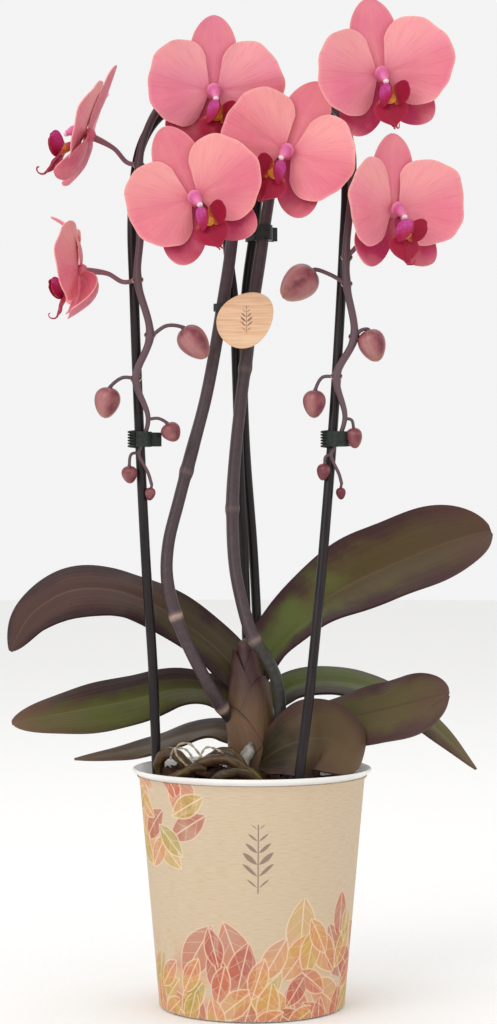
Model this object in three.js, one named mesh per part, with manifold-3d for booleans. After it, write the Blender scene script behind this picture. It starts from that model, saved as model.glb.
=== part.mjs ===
// A potted moth orchid: two flower spikes trained over two wire hoops, seven open blooms, eleven buds and
// seven leaves, in bark inside a clear grow pot that stands in a white decorative pot with a printed sleeve.
// Millimetres, +Z up. The origin is the centre of the pot's underside, and the front of the plant faces -Y.
import * as THREE from "three";
import { mergeVertices } from "three/addons/utils/BufferGeometryUtils.js";
import Module from "manifold-3d";

const wasm = await Module();
wasm.setup();

// Driving dimensions of the pots.
const POT_FOOT_R = 48.6; // outer radius of the decorative pot at the surface it stands on
const POT_TOP_R = 59.4; // outer radius of its wall just under the lip
const POT_H = 127; // top of the flared lip
const LIP_R = 64; // outermost radius of the lip
const LIP_H = 5; // height of the flare
const WALL = 1.2;
const FLOOR_T = 2;
const POT_SIDES = 32;
const SLEEVE_T = 0.6;
const SLEEVE_LIFT = 0.6; // the sleeve ends this far above the surface
const GROW_POT_H = 112;
const GROW_POT_WALL = 0.9;
const GROW_POT_PLAY = 1.4; // between the walls of the two pots
const GROW_POT_SIDES = 24;
const DRAIN_HOLE_R = 4;
const DRAIN_HOLES = 4;
const DRAIN_CIRCLE_R = 28;

// The filling.
const BARK_TOP = 117; // mean height of the bark
const CHIPS = 15;
const CHIP_SPREAD_R = 48;

// The plant and its supports.
const HOOP_R = 2.6; // coated wire, 5.2 mm across
const STEM_R = 3.3;
const STALK_R = 1.5;
const BLADE_T = 0.8; // petals and lip
const LEAF_T = 1.7;
const DORSAL_L = 37; // the upper sepal
const DORSAL_HALF_W = 12.5;
const LATERAL_L = 34; // the two lower sepals
const LATERAL_HALF_W = 11.5;
const LATERAL_ANGLE = 141; // between each lower sepal and the upper one, in degrees
const PETAL_L = 34.5; // from claw to outer edge
const PETAL_FAN = 76; // a petal spreads this many degrees to each side of its middle
const HEART_R = 4.2; // where sepals, petals, lip and column meet
const OVARY_BACK = -5.8; // where a stalk ends, behind the flower's heart
const JAW_R = 5.2; // rounded ends of a clip's jaws
const CLIP_H = 8;
const TAG_T = 1.6;

const GAP = 0.35; // clearance between pieces that touch
const DEGREE = Math.PI / 180;

const V = (x, y, z) => new THREE.Vector3(x, y, z);
const points = (list) => list.map((p) => V(...p));
const smooth = (x) => {
  const t = Math.min(1, Math.max(0, x));
  return t * t * (3 - 2 * t);
};
const mix = (a, b, t) => a + (b - a) * t;

// A repeatable stream of numbers from 0 to 1.
function randomFrom(seed) {
  let state = seed;
  return () => {
    state = (state * 1664525 + 1013904223) % 4294967296;
    return state / 4294967296;
  };
}

// Solids and meshes.

// A geometry with nothing but its corners, each stored once.
function stripped(geometry) {
  const bare = geometry.clone();
  for (const name of ["normal", "uv"]) bare.deleteAttribute(name);
  return bare;
}

// A closed geometry as a solid, turned round if bending it has turned its faces inwards.
function solidOf(geometry) {
  const merged = mergeVertices(stripped(geometry), 1e-3);
  const index = Uint32Array.from(merged.index.array);
  const build = () =>
    new wasm.Manifold(
      new wasm.Mesh({
        numProp: 3,
        vertProperties: new Float32Array(merged.attributes.position.array),
        triVerts: index,
      }),
    );
  const made = build();
  if (made.volume() > 0) return made;
  for (let i = 0; i < index.length; i += 3) {
    [index[i + 1], index[i + 2]] = [index[i + 2], index[i + 1]];
  }
  return build();
}

function geometryOf(solid) {
  const mesh = solid.getMesh();
  const position = new Float32Array(mesh.numVert * 3);
  for (let i = 0; i < mesh.numVert; i++) {
    const start = i * mesh.numProp;
    position.set(mesh.vertProperties.subarray(start, start + 3), i * 3);
  }
  return new THREE.BufferGeometry()
    .setAttribute("position", new THREE.BufferAttribute(position, 3))
    .setIndex(new THREE.BufferAttribute(new Uint32Array(mesh.triVerts), 1));
}

const joined = (solids) => solids.reduce((a, b) => a.add(b));
const cutClear = (solid, others) => others.reduce((a, b) => a.subtract(b), solid);

// The largest body of a solid: a cut can leave a loose scrap, which is dropped.
function largestBody(solid) {
  const bodies = solid.decompose();
  return bodies.reduce((a, b) => (b.volume() > a.volume() ? b : a));
}

// A smooth curve through a few points, with a frame at each step that doesn't twist along it.
function framesAlong(list, steps) {
  const curve = new THREE.CatmullRomCurve3(points(list), false, "centripetal");
  const { normals, binormals } = curve.computeFrenetFrames(steps, false);
  return normals.map((normal, i) => ({ at: curve.getPointAt(i / steps), normal, side: binormals[i] }));
}

// A round limb: a capped cylinder bent along a route. radiusAt(t) is its radius from root to tip.
function limb(list, radiusAt, sides, steps) {
  const geometry = new THREE.CylinderGeometry(1, 1, 1, sides, steps);
  const frames = framesAlong(list, steps);
  moveCorners(geometry, (p) => {
    const row = Math.round((p.y + 0.5) * steps);
    const { at, normal, side } = frames[row];
    const radius = radiusAt(row / steps);
    return at.clone().addScaledVector(side, p.x * radius).addScaledVector(normal, p.z * radius);
  });
  return solidOf(geometry);
}

// Moves each corner p of a geometry to place(p).
function moveCorners(geometry, place) {
  const position = geometry.attributes.position;
  for (let i = 0; i < position.count; i++) {
    const moved = place(V(position.getX(i), position.getY(i), position.getZ(i)));
    position.setXYZ(i, moved.x, moved.y, moved.z);
  }
  return geometry;
}

// A thin blade of even thickness. surfaceAt(s, t) gives its middle surface for s and t from 0 to 1, and both
// faces are split into triangles alike, so that a waved blade never crosses itself.
function blade(surfaceAt, columns, rows, thickness) {
  const sheet = stripped(new THREE.PlaneGeometry(1, 1, columns, rows));
  moveCorners(sheet, (p) => surfaceAt(p.x + 0.5, p.y + 0.5));
  const position = sheet.attributes.position;
  sheet.computeVertexNormals();
  const normal = sheet.attributes.normal;
  const count = position.count;
  const both = new Float32Array(count * 6);
  for (let i = 0; i < count; i++) {
    const p = V(position.getX(i), position.getY(i), position.getZ(i));
    const n = V(normal.getX(i), normal.getY(i), normal.getZ(i));
    p.clone().addScaledVector(n, thickness / 2).toArray(both, i * 3);
    p.clone().addScaledVector(n, -thickness / 2).toArray(both, (count + i) * 3);
  }
  const faces = [];
  const front = sheet.index.array;
  for (let i = 0; i < front.length; i += 3) {
    const [a, b, c] = front.slice(i, i + 3);
    faces.push(a, b, c, count + c, count + b, count + a);
  }
  const wide = columns + 1;
  const rim = [];
  for (let x = 0; x < columns; x++) rim.push(x);
  for (let y = 0; y < rows; y++) rim.push(y * wide + columns);
  for (let x = columns; x > 0; x--) rim.push(rows * wide + x);
  for (let y = rows; y > 0; y--) rim.push(y * wide);
  rim.forEach((a, i) => {
    const b = rim[(i + 1) % rim.length];
    faces.push(a, b, count + b, a, count + b, count + a);
  });
  const geometry = new THREE.BufferGeometry()
    .setAttribute("position", new THREE.BufferAttribute(both, 3))
    .setIndex(faces);
  return solidOf(geometry);
}

// The pots and the sleeve.

const potRadiusAt = (z) => mix(POT_FOOT_R, POT_TOP_R, z / (POT_H - LIP_H));

function lathe(profile, sides = POT_SIDES) {
  const outline = profile.map(([r, z]) => new THREE.Vector2(r, z));
  return solidOf(new THREE.LatheGeometry(outline, sides).rotateX(Math.PI / 2));
}

function decorativePot() {
  const flareZ = POT_H - LIP_H;
  return lathe([
    [0, 0],
    [POT_FOOT_R, 0],
    [POT_TOP_R, flareZ],
    [LIP_R - 1.6, POT_H - 2.6],
    [LIP_R, POT_H - 1],
    [LIP_R - 0.3, POT_H],
    [LIP_R - 2.6, POT_H - 1.4],
    [POT_TOP_R - WALL, flareZ - 1],
    [potRadiusAt(FLOOR_T) - WALL, FLOOR_T],
    [0, FLOOR_T],
  ]);
}

// A thin wrap round the decorative pot, from just above its foot to just under its lip.
function printedSleeve() {
  const top = POT_H - LIP_H - 0.6;
  const low = potRadiusAt(SLEEVE_LIFT) + GAP;
  const high = potRadiusAt(top) + GAP;
  return lathe([
    [low, SLEEVE_LIFT],
    [low + SLEEVE_T, SLEEVE_LIFT],
    [high + SLEEVE_T, top],
    [high, top],
    [low, SLEEVE_LIFT],
  ]);
}

const GROW_FLOOR_Z = FLOOR_T + GAP;
const growRadiusAt = (z) => potRadiusAt(z) - WALL - GROW_POT_PLAY;

function growPot() {
  const floorTop = GROW_FLOOR_Z + GROW_POT_WALL;
  const rimR = growRadiusAt(GROW_POT_H);
  const shell = lathe(
    [
      [0, GROW_FLOOR_Z],
      [growRadiusAt(GROW_FLOOR_Z), GROW_FLOOR_Z],
      [growRadiusAt(GROW_POT_H - 3), GROW_POT_H - 3],
      [rimR + 0.8, GROW_POT_H],
      [rimR - GROW_POT_WALL, GROW_POT_H],
      [growRadiusAt(floorTop) - GROW_POT_WALL, floorTop],
      [0, floorTop],
    ],
    GROW_POT_SIDES,
  );
  const holes = [];
  for (let i = 0; i < DRAIN_HOLES; i++) {
    const turn = (i / DRAIN_HOLES) * Math.PI * 2;
    const drill = new THREE.CylinderGeometry(DRAIN_HOLE_R, DRAIN_HOLE_R, 6, 6).rotateX(Math.PI / 2);
    drill.translate(DRAIN_CIRCLE_R * Math.cos(turn), DRAIN_CIRCLE_R * Math.sin(turn), GROW_FLOOR_Z);
    holes.push(solidOf(drill));
  }
  return cutClear(shell, holes);
}

// Bark: a filled body with an uneven top, and chips that stand out of it.

const barkHeightAt = (x, y) =>
  BARK_TOP + 1.6 * Math.sin(x / 7.5 + 0.6) * Math.cos(y / 6.5) + 1.2 * Math.sin((x + y) / 4.6);

const barkEdgeAt = (z) => growRadiusAt(z) - GROW_POT_WALL - GAP;

function barkBody() {
  const floor = GROW_FLOOR_Z + GROW_POT_WALL + GAP;
  const shoulder = GROW_POT_H - 1;
  const profile = [
    [0, floor],
    [barkEdgeAt(floor), floor],
    [barkEdgeAt(shoulder), shoulder],
    [42, BARK_TOP],
    [18, BARK_TOP],
    [0, BARK_TOP],
  ];
  const outline = profile.map(([r, z]) => new THREE.Vector2(r, z));
  const geometry = new THREE.LatheGeometry(outline, GROW_POT_SIDES).rotateX(Math.PI / 2);
  return solidOf(moveCorners(geometry, (p) => (p.z > BARK_TOP - 0.5 ? p.setZ(barkHeightAt(p.x, p.y)) : p)));
}

// The room inside the grow pot, carried on upwards past its rim.
function growPotInside() {
  const top = BARK_TOP + 20;
  return lathe([[0, 0], [barkEdgeAt(0), 0], [barkEdgeAt(top), top], [0, top]], GROW_POT_SIDES);
}

// Chips lie in a sunflower spread, which covers the top evenly.
function barkChips() {
  const random = randomFrom(41);
  const chips = [];
  for (let i = 0; i < CHIPS; i++) {
    const far = CHIP_SPREAD_R * Math.sqrt((i + 0.5) / CHIPS);
    const turn = i * 2.39996 + random() * 0.5;
    const size = V(mix(12, 19, random()), mix(8, 12, random()), mix(4, 7, random()));
    const chip = new THREE.BoxGeometry(size.x, size.y, size.z);
    moveCorners(chip, (p) => {
      const dull = p.x > 0 ? 1 - 0.28 * (p.y > 0 ? 1 : 0.4) : 1;
      return p.multiply(V(dull, dull, 1));
    });
    chip.rotateX((random() - 0.5) * 0.7);
    chip.rotateY((random() - 0.5) * 0.7);
    chip.rotateZ(random() * Math.PI);
    const x = far * Math.cos(turn);
    const y = far * Math.sin(turn);
    chip.translate(x, y, barkHeightAt(x, y) + 0.2 * size.z);
    chips.push(solidOf(chip));
  }
  return chips;
}

// Wire hoops: each stands in the bark on two feet, and goes up, over and down in one curve.

const HOOPS = {
  hoop_left: [
    [-46, -8, 62],
    [-50.5, -8, 123],
    [-52.7, -9, 180],
    [-56.5, -10, 238],
    [-60, -11, 310],
    [-62.5, -11, 376],
    [-63.5, -10, 425],
    [-59, -6, 459],
    [-48, 2, 477],
    [-33, 8, 483],
    [-20, 13, 470],
    [-15.5, 15, 440],
    [-13, 15, 405],
    [-9.8, 16, 378],
    [-8.4, 17, 340],
    [-6.6, 19, 285],
    [-4.2, 21, 237],
    [-2.6, 23, 180],
    [-2, 24, 120],
    [-2, 24, 70],
  ],
  hoop_right: [
    [20, -38, 62],
    [24.5, -39, 126],
    [29.5, -36, 165],
    [36, -27, 228],
    [41.5, -18, 291],
    [45, -13, 340],
    [48.5, -10, 402],
    [50, -7, 440],
    [47.5, -2, 464],
    [40, 3, 478],
    [29, 7, 483],
    [15, 12, 474],
    [6, 15, 450],
    [1, 17, 415],
    [-3.2, 20, 384],
    [-5, 22.5, 350],
    [-3.6, 24.5, 300],
    [0.8, 26, 240],
    [3.6, 27.5, 180],
    [4.4, 28, 120],
    [4.4, 28, 70],
  ],
};

const hoop = (name, grow = 0) => limb(HOOPS[name], () => HOOP_R + grow, 7, 30);

// The crown: the short stem, wrapped in the folded sheaths of the leaves.

const CROWN = { low: 88, high: 196, sides: 12, rows: 12 };

// Half widths of the crown across and front to back, and the sideways lean of its axis.
function crownAt(z) {
  const up = (z - CROWN.low) / (CROWN.high - CROWN.low);
  const swell = mix(8.5, 12, smooth((z - 100) / 25)) * (1 - smooth((z - 150) / 60) * 0.72);
  return { across: swell, deep: swell * 0.8, x: mix(3.5, -3.5, up), y: mix(1, 3, up) };
}

function crown(grow = 0) {
  const geometry = new THREE.CylinderGeometry(1, 1, 1, CROWN.sides, CROWN.rows);
  moveCorners(geometry, (p) => {
    const up = p.y + 0.5;
    const z = mix(CROWN.low - grow, CROWN.high + grow, up);
    const { across, deep, x, y } = crownAt(z);
    // Sheath edges run as slanting steps, turned the other way on each side of the stem.
    const slant = (z - 105) / 26 + 0.9 * Math.abs(p.x);
    const step = 1 + 0.09 * (1 - (slant - Math.floor(slant)));
    const wide = up === 0 || up === 1 ? 0.86 : step;
    return V(x + p.x * (across * wide + grow), y + p.z * (deep * wide + grow), z);
  });
  return solidOf(geometry);
}

// Leaves. A leaf follows its midrib; facing gives where its upper side looks at the root, middle and tip.

const LEAVES = {
  leaf_upper_left: {
    rib: [
      [-5, 5, 170], [-12, 8, 182], [-33, 11, 200], [-55, 11, 213.5], [-77, 8, 221], [-99, 4, 220],
      [-118, 0, 208], [-129, -3, 189],
    ],
    halfWidth: 19,
    root: 0.44,
    widest: 0.7,
    tip: 1.9,
    point: 0.7,
    facing: [[-0.3, -0.7, 0.65], [-0.1, -0.62, 0.78], [-0.6, -0.7, 0.35]],
    gutter: [0.5, 0.12],
  },
  leaf_upper_right: {
    rib: [
      [3, 8, 170], [9, 12, 186], [22, 17, 200], [36, 21, 212], [56, 25, 224], [83, 28, 236],
      [108, 29, 246], [131, 30, 253],
    ],
    halfWidth: 28,
    root: 0.48,
    widest: 0.6,
    tip: 2.6,
    facing: [[-0.5, -0.62, 0.6], [-0.3, -0.7, 0.65], [-0.2, -0.8, 0.55]],
    gutter: [0.55, 0.4],
  },
  leaf_middle_left: {
    rib: [[-6, 4, 156], [-20, 9, 165], [-38, 13, 167], [-65, 14, 161], [-92, 11, 156], [-129, 4, 150]],
    halfWidth: 18.5,
    root: 0.5,
    widest: 0.52,
    tip: 1.9,
    point: 0.6,
    facing: [[-0.1, -0.6, 0.8], [0, -0.66, 0.75], [0.1, -0.66, 0.75]],
    gutter: [0.4, 0.18],
  },
  leaf_lower_left: {
    rib: [[-5, 6, 139], [-17, 14, 145], [-34, 23, 142], [-56, 30, 135], [-78, 36, 130], [-98, 39, 127]],
    halfWidth: 12.5,
    root: 0.65,
    widest: 0.45,
    tip: 1.25,
    point: 0.95,
    facing: [[-0.1, -0.5, 0.85], [0, -0.4, 0.92], [0, -0.5, 0.87]],
    gutter: [0.35, 0.15],
  },
  leaf_back_right: {
    rib: [
      [6, 12, 155], [19, 24, 166], [38, 33, 169.5], [60, 40, 167], [82, 46, 158], [104, 50, 141],
      [125, 53, 120],
    ],
    halfWidth: 18,
    root: 0.5,
    widest: 0.45,
    tip: 1.6,
    point: 0.9,
    facing: [[0, -0.5, 0.85], [0.05, -0.4, 0.92], [0.5, -0.5, 0.7]],
    gutter: [0.35, 0.15],
  },
  leaf_lower_right: {
    rib: [[9, 3, 145], [20, 4, 147], [34, 4, 149.5], [51, 0, 153], [74, -9, 159], [104, -19, 168]],
    halfWidth: 21,
    root: 0.4,
    widest: 0.62,
    tip: 2.8,
    facing: [[-0.1, -0.6, 0.8], [-0.1, -0.68, 0.72], [-0.15, -0.75, 0.6]],
    gutter: [0.35, 0.08],
  },
  leaf_front_right: {
    rib: [[5, -9, 131], [16, -17, 141], [30, -23, 147], [41, -26, 146.5], [49.5, -28, 139], [54.5, -27, 129]],
    halfWidth: 18.5,
    root: 0.5,
    widest: 0.5,
    tip: 2.6,
    facing: [[0, -0.7, 0.7], [0.15, -0.95, 0.3], [0.8, -0.6, 0.1]],
    gutter: [0.3, 0.1],
  },
};

// Half width of a leaf at t from root to tip, as a share of its widest.
function leafShare({ root, widest, tip, point = 0.5 }, t) {
  const grown = mix(root, 1, smooth(t / widest));
  const left = Math.max(0, (t - widest) / (1 - widest));
  return grown * Math.max(0, 1 - left ** tip) ** point;
}

function leaf(spec) {
  const route = new THREE.CatmullRomCurve3(points(spec.rib), false, "centripetal");
  const facing = points(spec.facing);
  const surface = (s, up) => {
    const t = 1 - (1 - up) ** 1.35; // rows close up towards the round tip
    const along = Math.min(t, 0.985);
    const v = s * 2 - 1;
    const tangent = route.getTangentAt(t);
    const half = spec.halfWidth * leafShare(spec, along);
    const look = t < 0.5
      ? facing[0].clone().lerp(facing[1], t * 2)
      : facing[1].clone().lerp(facing[2], t * 2 - 1);
    const up3 = look.addScaledVector(tangent, -look.dot(tangent)).normalize();
    const across = tangent.clone().cross(up3);
    const gutter = mix(spec.gutter[0], spec.gutter[1], smooth(t * 1.6));
    return route
      .getPointAt(t)
      .addScaledVector(across, v * half)
      .addScaledVector(up3, half * (gutter * Math.abs(v) - 0.16 * v * v));
  };
  return blade(surface, 4, 10, LEAF_T);
}

// Roots: a fat silver root tip, an old hollow knot at the left, and one root that crosses the bark.

const ROOTS = [
  { route: [[0, -9, 141], [-3, -13, 134], [-6.5, -15, 127], [-8, -15, 114]], from: 3.5, to: 3, steps: 4 },
  {
    route: [
      [6, -24, 112], [2, -31, 124], [-7, -30, 131], [-17, -27, 134], [-28, -25, 130], [-34, -24, 116],
    ],
    from: 2.6, to: 3.2, steps: 7,
  },
  {
    route: [
      [-31, -22, 114], [-33, -24, 128], [-39, -21, 135], [-47, -14, 135], [-49.5, -9, 127],
      [-47, -8, 112],
    ],
    from: 3, to: 3, steps: 8,
  },
  {
    route: [[-46, -16, 112], [-46, -25, 121], [-39, -31, 125], [-31, -30, 129], [-24, -27, 128]],
    from: 3, to: 2.6, steps: 6,
  },
];

function rootLimb({ route, from, to, steps }, grow = 0) {
  return limb(route, (t) => mix(from, to, t) + grow, 6, steps);
}

// Flower spikes. Each goes up beside a hoop, over it and down again, zigzags at its nodes, and carries
// blooms and then ever smaller buds on short stalks.

const SPIKES = {
  spike_left: {
    stem: [
      [-2, -2, 140],
      [-11, -7, 148],
      [-17, -11, 160],
      [-26, -13, 177],
      [-35, -13, 195],
      [-42, -12, 213],
      [-45.3, -10, 230],
      [-44.5, -7, 247],
      [-39, -3, 270],
      [-32, 1, 297],
      [-25, 4, 324],
      [-19.8, 6, 351],
      [-15.6, 7, 377],
      [-12, 7, 400],
      [-9.6, 7, 425],
      [-11, 7, 455],
      [-19, 5, 479],
      [-33, 0, 489],
      [-47, -6, 482],
      [-57.5, -13, 461],
      [-60.5, -17, 438],
      [-59, -17, 412],
      [-60.5, -17.5, 386],
      [-54, -16, 357],
      [-61.5, -16.5, 334],
      [-55, -15.5, 313],
      [-59, -15, 298],
      [-60, -14.5, 294],
      [-55, -14, 284],
      [-53, -14, 277],
    ],
    buds: [
      { from: [-54, -16, 356], via: [-45, -17, 362], at: [-36.5, -17, 361], tip: [-24, -17, 345], size: 7.4 },
      {
        from: [-61, -16.5, 334], via: [-68.5, -17, 334.5],
        at: [-75, -17, 329.5], tip: [-78, -17, 313], size: 6.6,
      },
      {
        from: [-55.5, -15.5, 312.5], via: [-49.5, -16, 313],
        at: [-45, -16, 310.5], tip: [-40, -16, 301], size: 5,
      },
      {
        from: [-60, -14.5, 295], via: [-64, -15, 294],
        at: [-65, -15, 288], tip: [-64.5, -15, 278.5], size: 4,
      },
      {
        from: [-53.2, -14, 279], via: [-53.2, -14, 277.5],
        at: [-53.4, -14, 276.5], tip: [-54.5, -14, 269.5], size: 2.7,
      },
    ],
  },
  spike_right: {
    stem: [
      [6, 3, 153],
      [13, -3, 159],
      [14, -8, 171],
      [9, -12, 184],
      [2, -13, 195],
      [-4.5, -9, 212],
      [-9, -3, 233],
      [-10.6, 3, 258],
      [-9.8, 7, 285],
      [-7.2, 9, 313],
      [-3.2, 9, 345],
      [0.6, 8.5, 375],
      [4.4, 8, 400],
      [8, 8, 425],
      [13, 8, 452],
      [22, 3, 476],
      [34, -2, 487],
      [46, -6, 477],
      [53, -11, 456],
      [52.5, -14, 430],
      [50, -16, 405],
      [50, -17, 384],
      [54, -16, 356],
      [44.5, -19.5, 335],
      [49, -19, 313],
      [43, -21, 297],
      [41.5, -22, 293.5],
      [46, -21, 283],
      [47.5, -20, 277],
    ],
    buds: [
      { from: [50, -17, 384], via: [41, -18, 389], at: [33, -18, 391.5], tip: [16, -18, 376.5], size: 8.6 },
      {
        from: [54.5, -16, 356], via: [57.5, -16.5, 359.5],
        at: [61.5, -16.5, 360], tip: [66.5, -16.5, 343], size: 7,
      },
      {
        from: [44.5, -19.5, 335], via: [37, -18.5, 334.5],
        at: [33.4, -18.5, 328], tip: [32.6, -18.5, 313], size: 5.8,
      },
      {
        from: [49, -19, 313], via: [52.5, -19.5, 312],
        at: [53.5, -19.5, 308], tip: [54.5, -19.5, 297], size: 4.2,
      },
      {
        from: [41.5, -22, 294], via: [38.6, -22.5, 292.5],
        at: [38.2, -22.5, 289], tip: [37, -22.5, 280], size: 3.4,
      },
      {
        from: [47.3, -20, 279], via: [47, -20, 277.5],
        at: [46.8, -20, 276.5], tip: [47, -20, 270], size: 2.5,
      },
    ],
  },
};

// Stem radius: full at the root, and thin where the buds are small.
const stemRadiusAt = (t) => mix(mix(STEM_R, 2.3, smooth((t - 0.45) / 0.25)), 0.9, smooth((t - 0.88) / 0.1));

// A bud: a blunt egg with three soft ridges, fat end to the stalk.
function bud({ at, tip, size }, grow = 0) {
  const root = V(...at);
  const axis = V(...tip).sub(root);
  const long = axis.length();
  const turn = new THREE.Quaternion().setFromUnitVectors(V(0, 1, 0), axis.normalize());
  return solidOf(
    moveCorners(new THREE.SphereGeometry(1, 6, 4), (p) => {
      const along = (p.y + 1) / 2;
      const ridge = 1 + 0.06 * Math.cos(3 * Math.atan2(p.z, p.x));
      const fat = size * (1.12 - 0.42 * along) * ridge + grow;
      return p
        .set(p.x * fat, along * (long + 2 * grow) - grow, p.z * fat)
        .applyQuaternion(turn)
        .add(root);
    }),
  );
}

// Blooms. at is the flower's heart, face the way it looks, and roll turns it in its own plane, in degrees.
// cup is how far the petals come forward, and dorsal and lateral how the sepals bend: back, then forward.

const UPRIGHT = { roll: 0, cup: 7, dorsal: [8, 4], lateral: [20, 42], size: 1 };

const BLOOMS = {
  bloom_1: {
    ...UPRIGHT,
    spike: "spike_left",
    node: [-41, -3, 486],
    at: [-20.6, -22, 484.6],
    face: [0.2, -0.96, -0.15],
  },
  bloom_2: {
    ...UPRIGHT,
    spike: "spike_right",
    node: [44.5, -5, 479],
    at: [67.4, -31, 492],
    face: [0.16, -0.96, -0.16],
    roll: 12,
    cup: 15,
  },
  bloom_3: {
    ...UPRIGHT,
    spike: "spike_right",
    node: [52.8, -13, 440],
    at: [18.6, -37, 450.7],
    face: [-0.2, -0.97, -0.12],
    roll: -26,
    dorsal: [12, -4],
  },
  bloom_4: {
    ...UPRIGHT,
    spike: "spike_left",
    node: [-60, -17, 425],
    at: [-29.6, -50, 424.7],
    face: [0.17, -0.97, -0.1],
    roll: 25,
  },
  bloom_5: {
    ...UPRIGHT,
    spike: "spike_right",
    node: [50, -16.5, 398],
    at: [74.2, -32, 421],
    face: [0.5, -0.85, -0.1],
    roll: 3,
    cup: 12,
  },
  bloom_6: {
    ...UPRIGHT,
    spike: "spike_left",
    node: [-60, -15.5, 447],
    at: [-88, -13, 463.5],
    face: [-0.91, 0.03, 0.36],
    cup: 1.5,
    dorsal: [3, 1],
    lateral: [30, 55],
  },
  bloom_7: {
    ...UPRIGHT,
    spike: "spike_left",
    node: [-60.5, -17.5, 386],
    at: [-91.5, -16, 391],
    face: [-1, -0.04, 0],
    cup: 11,
    dorsal: [12, 75],
    lateral: [35, 60],
    size: 0.9,
  },
};

function bloomMatrix({ at, face, roll, size }) {
  const ahead = V(...face).normalize();
  const side = V(0, 0, 1).cross(ahead).normalize();
  const up = ahead.clone().cross(side);
  return new THREE.Matrix4()
    .makeBasis(side, up, ahead)
    .multiply(new THREE.Matrix4().makeRotationZ(roll * DEGREE))
    .scale(V(size, size, size))
    .setPosition(...at);
}

// A sepal points along angle, in degrees from upright, and is a pointed oval. It is bent in an arc that
// leans back at its root and comes forward at its tip, by the two angles in bend.
function sepal(angle, length, halfWidth, bend) {
  const along = V(Math.sin(angle * DEGREE), Math.cos(angle * DEGREE), 0);
  const across = V(Math.cos(angle * DEGREE), -Math.sin(angle * DEGREE), 0);
  const [back, ahead] = bend.map((degrees) => degrees * DEGREE);
  const arc = back + ahead;
  const surface = (s, t) => {
    const v = s * 2 - 1;
    const u = 1 - (1 - t) ** 1.5; // rows close up towards the round tip
    const inner = Math.min(0.995, 0.07 + 0.93 * u) ** 1.12;
    const half = halfWidth * Math.sin(Math.PI * inner) ** 0.52;
    const out = (length / arc) * (Math.sin(arc * u - back) + Math.sin(back));
    const rise = (length / arc) * (Math.cos(back) - Math.cos(arc * u - back));
    return along
      .clone()
      .multiplyScalar(3 + out)
      .addScaledVector(across, half * v)
      .add(V(0, 0, -1 + rise + 0.09 * half * v * v));
  };
  return blade(surface, 2, 5, BLADE_T);
}

// A petal fans out from a narrow claw on one side of the heart, taller than it is long.
function petal(side, cup) {
  const surface = (s, t) => {
    const angle = (s * 2 - 1) * PETAL_FAN * DEGREE;
    const reach = PETAL_L * Math.cos(1.12 * angle) ** 0.3 * (1 + 0.12 * Math.sin(angle));
    const far = reach * mix(0.03, 1, t);
    const rise = angle + 6 * DEGREE;
    const out = far * Math.cos(rise);
    const wave = 0.8 * Math.sin(angle * 5 + side) - 1.4 * Math.sin(angle) ** 2;
    return V(side * (2 + out), 0.5 + far * Math.sin(rise), 0.7 + cup * smooth(out / PETAL_L) + t * t * wave);
  };
  return blade(surface, 7, 3, BLADE_T);
}

function heart(grow = 0) {
  const ball = new THREE.SphereGeometry(1, 6, 4).rotateX(Math.PI / 2);
  ball.scale(HEART_R + grow, HEART_R + grow, HEART_R - 0.4 + grow);
  return solidOf(ball.translate(0, 0, -1.6));
}

function tepals({ cup, dorsal, lateral }) {
  return joined([
    heart(),
    sepal(0, DORSAL_L, DORSAL_HALF_W, dorsal),
    sepal(LATERAL_ANGLE, LATERAL_L, LATERAL_HALF_W, lateral),
    sepal(-LATERAL_ANGLE, LATERAL_L, LATERAL_HALF_W, lateral),
    petal(1, cup),
    petal(-1, cup),
  ]);
}

// The column stands out of the heart and ends in the anther cap.
function column() {
  const route = [[0, 1, 2.9], [0, 0, 5], [0, -1.6, 8], [0, -3.8, 11]];
  const cap = 0.9;
  return limb(route, (t) => (t > cap ? 1.8 : 3 - 0.9 * Math.sin(Math.PI * Math.min(1, t * 1.6))), 6, 4);
}

// One of the two round side lobes of the lip, which cup the column.
function sideLobe(side) {
  const surface = (s, t) => {
    const v = s * 2 - 1;
    const round = Math.sin(Math.PI * mix(0.2, 0.93, t)) ** 0.6;
    const out = 10.5 * t;
    return V(
      side * (2.5 + 0.75 * out - 0.4 * v * round),
      -12.2 + 0.45 * out + 5.4 * v * round,
      9 + 0.62 * out + 1.6 * v * v * round + 1.4 * t * t,
    );
  };
  return blade(surface, 2, 2, BLADE_T);
}

// The spade-shaped middle lobe of the lip, with its tip turned up.
function midLobe() {
  const surface = (s, t) => {
    const v = s * 2 - 1;
    const bulge = 0.3 + 0.7 * Math.sin(Math.PI * Math.min(1, t * 1.1) ** 0.9) ** 0.7;
    const half = 9.2 * bulge * Math.sqrt(1 - 0.85 * t ** 6);
    const rise = 7.5 * t - 3.5 * t * t + 4 * Math.max(0, t - 0.7);
    return V(half * v, -12 - 15 * t, 7.4 + rise - 0.05 * half * v * v);
  };
  return blade(surface, 2, 4, BLADE_T);
}

// The lip: a claw that swells into a fleshy callus, and its three lobes.
function lip() {
  const throat = [[0, -5.2, 2.4], [0, -8, 5.4], [0, -11.6, 9], [0, -12.6, 11.4]];
  const claw = limb(throat, (t) => 1.5 + 1.5 * smooth(t * 1.4) - (t > 0.9 ? 1 : 0), 5, 4);
  return joined([claw, midLobe(), sideLobe(1), sideLobe(-1)]);
}

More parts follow.
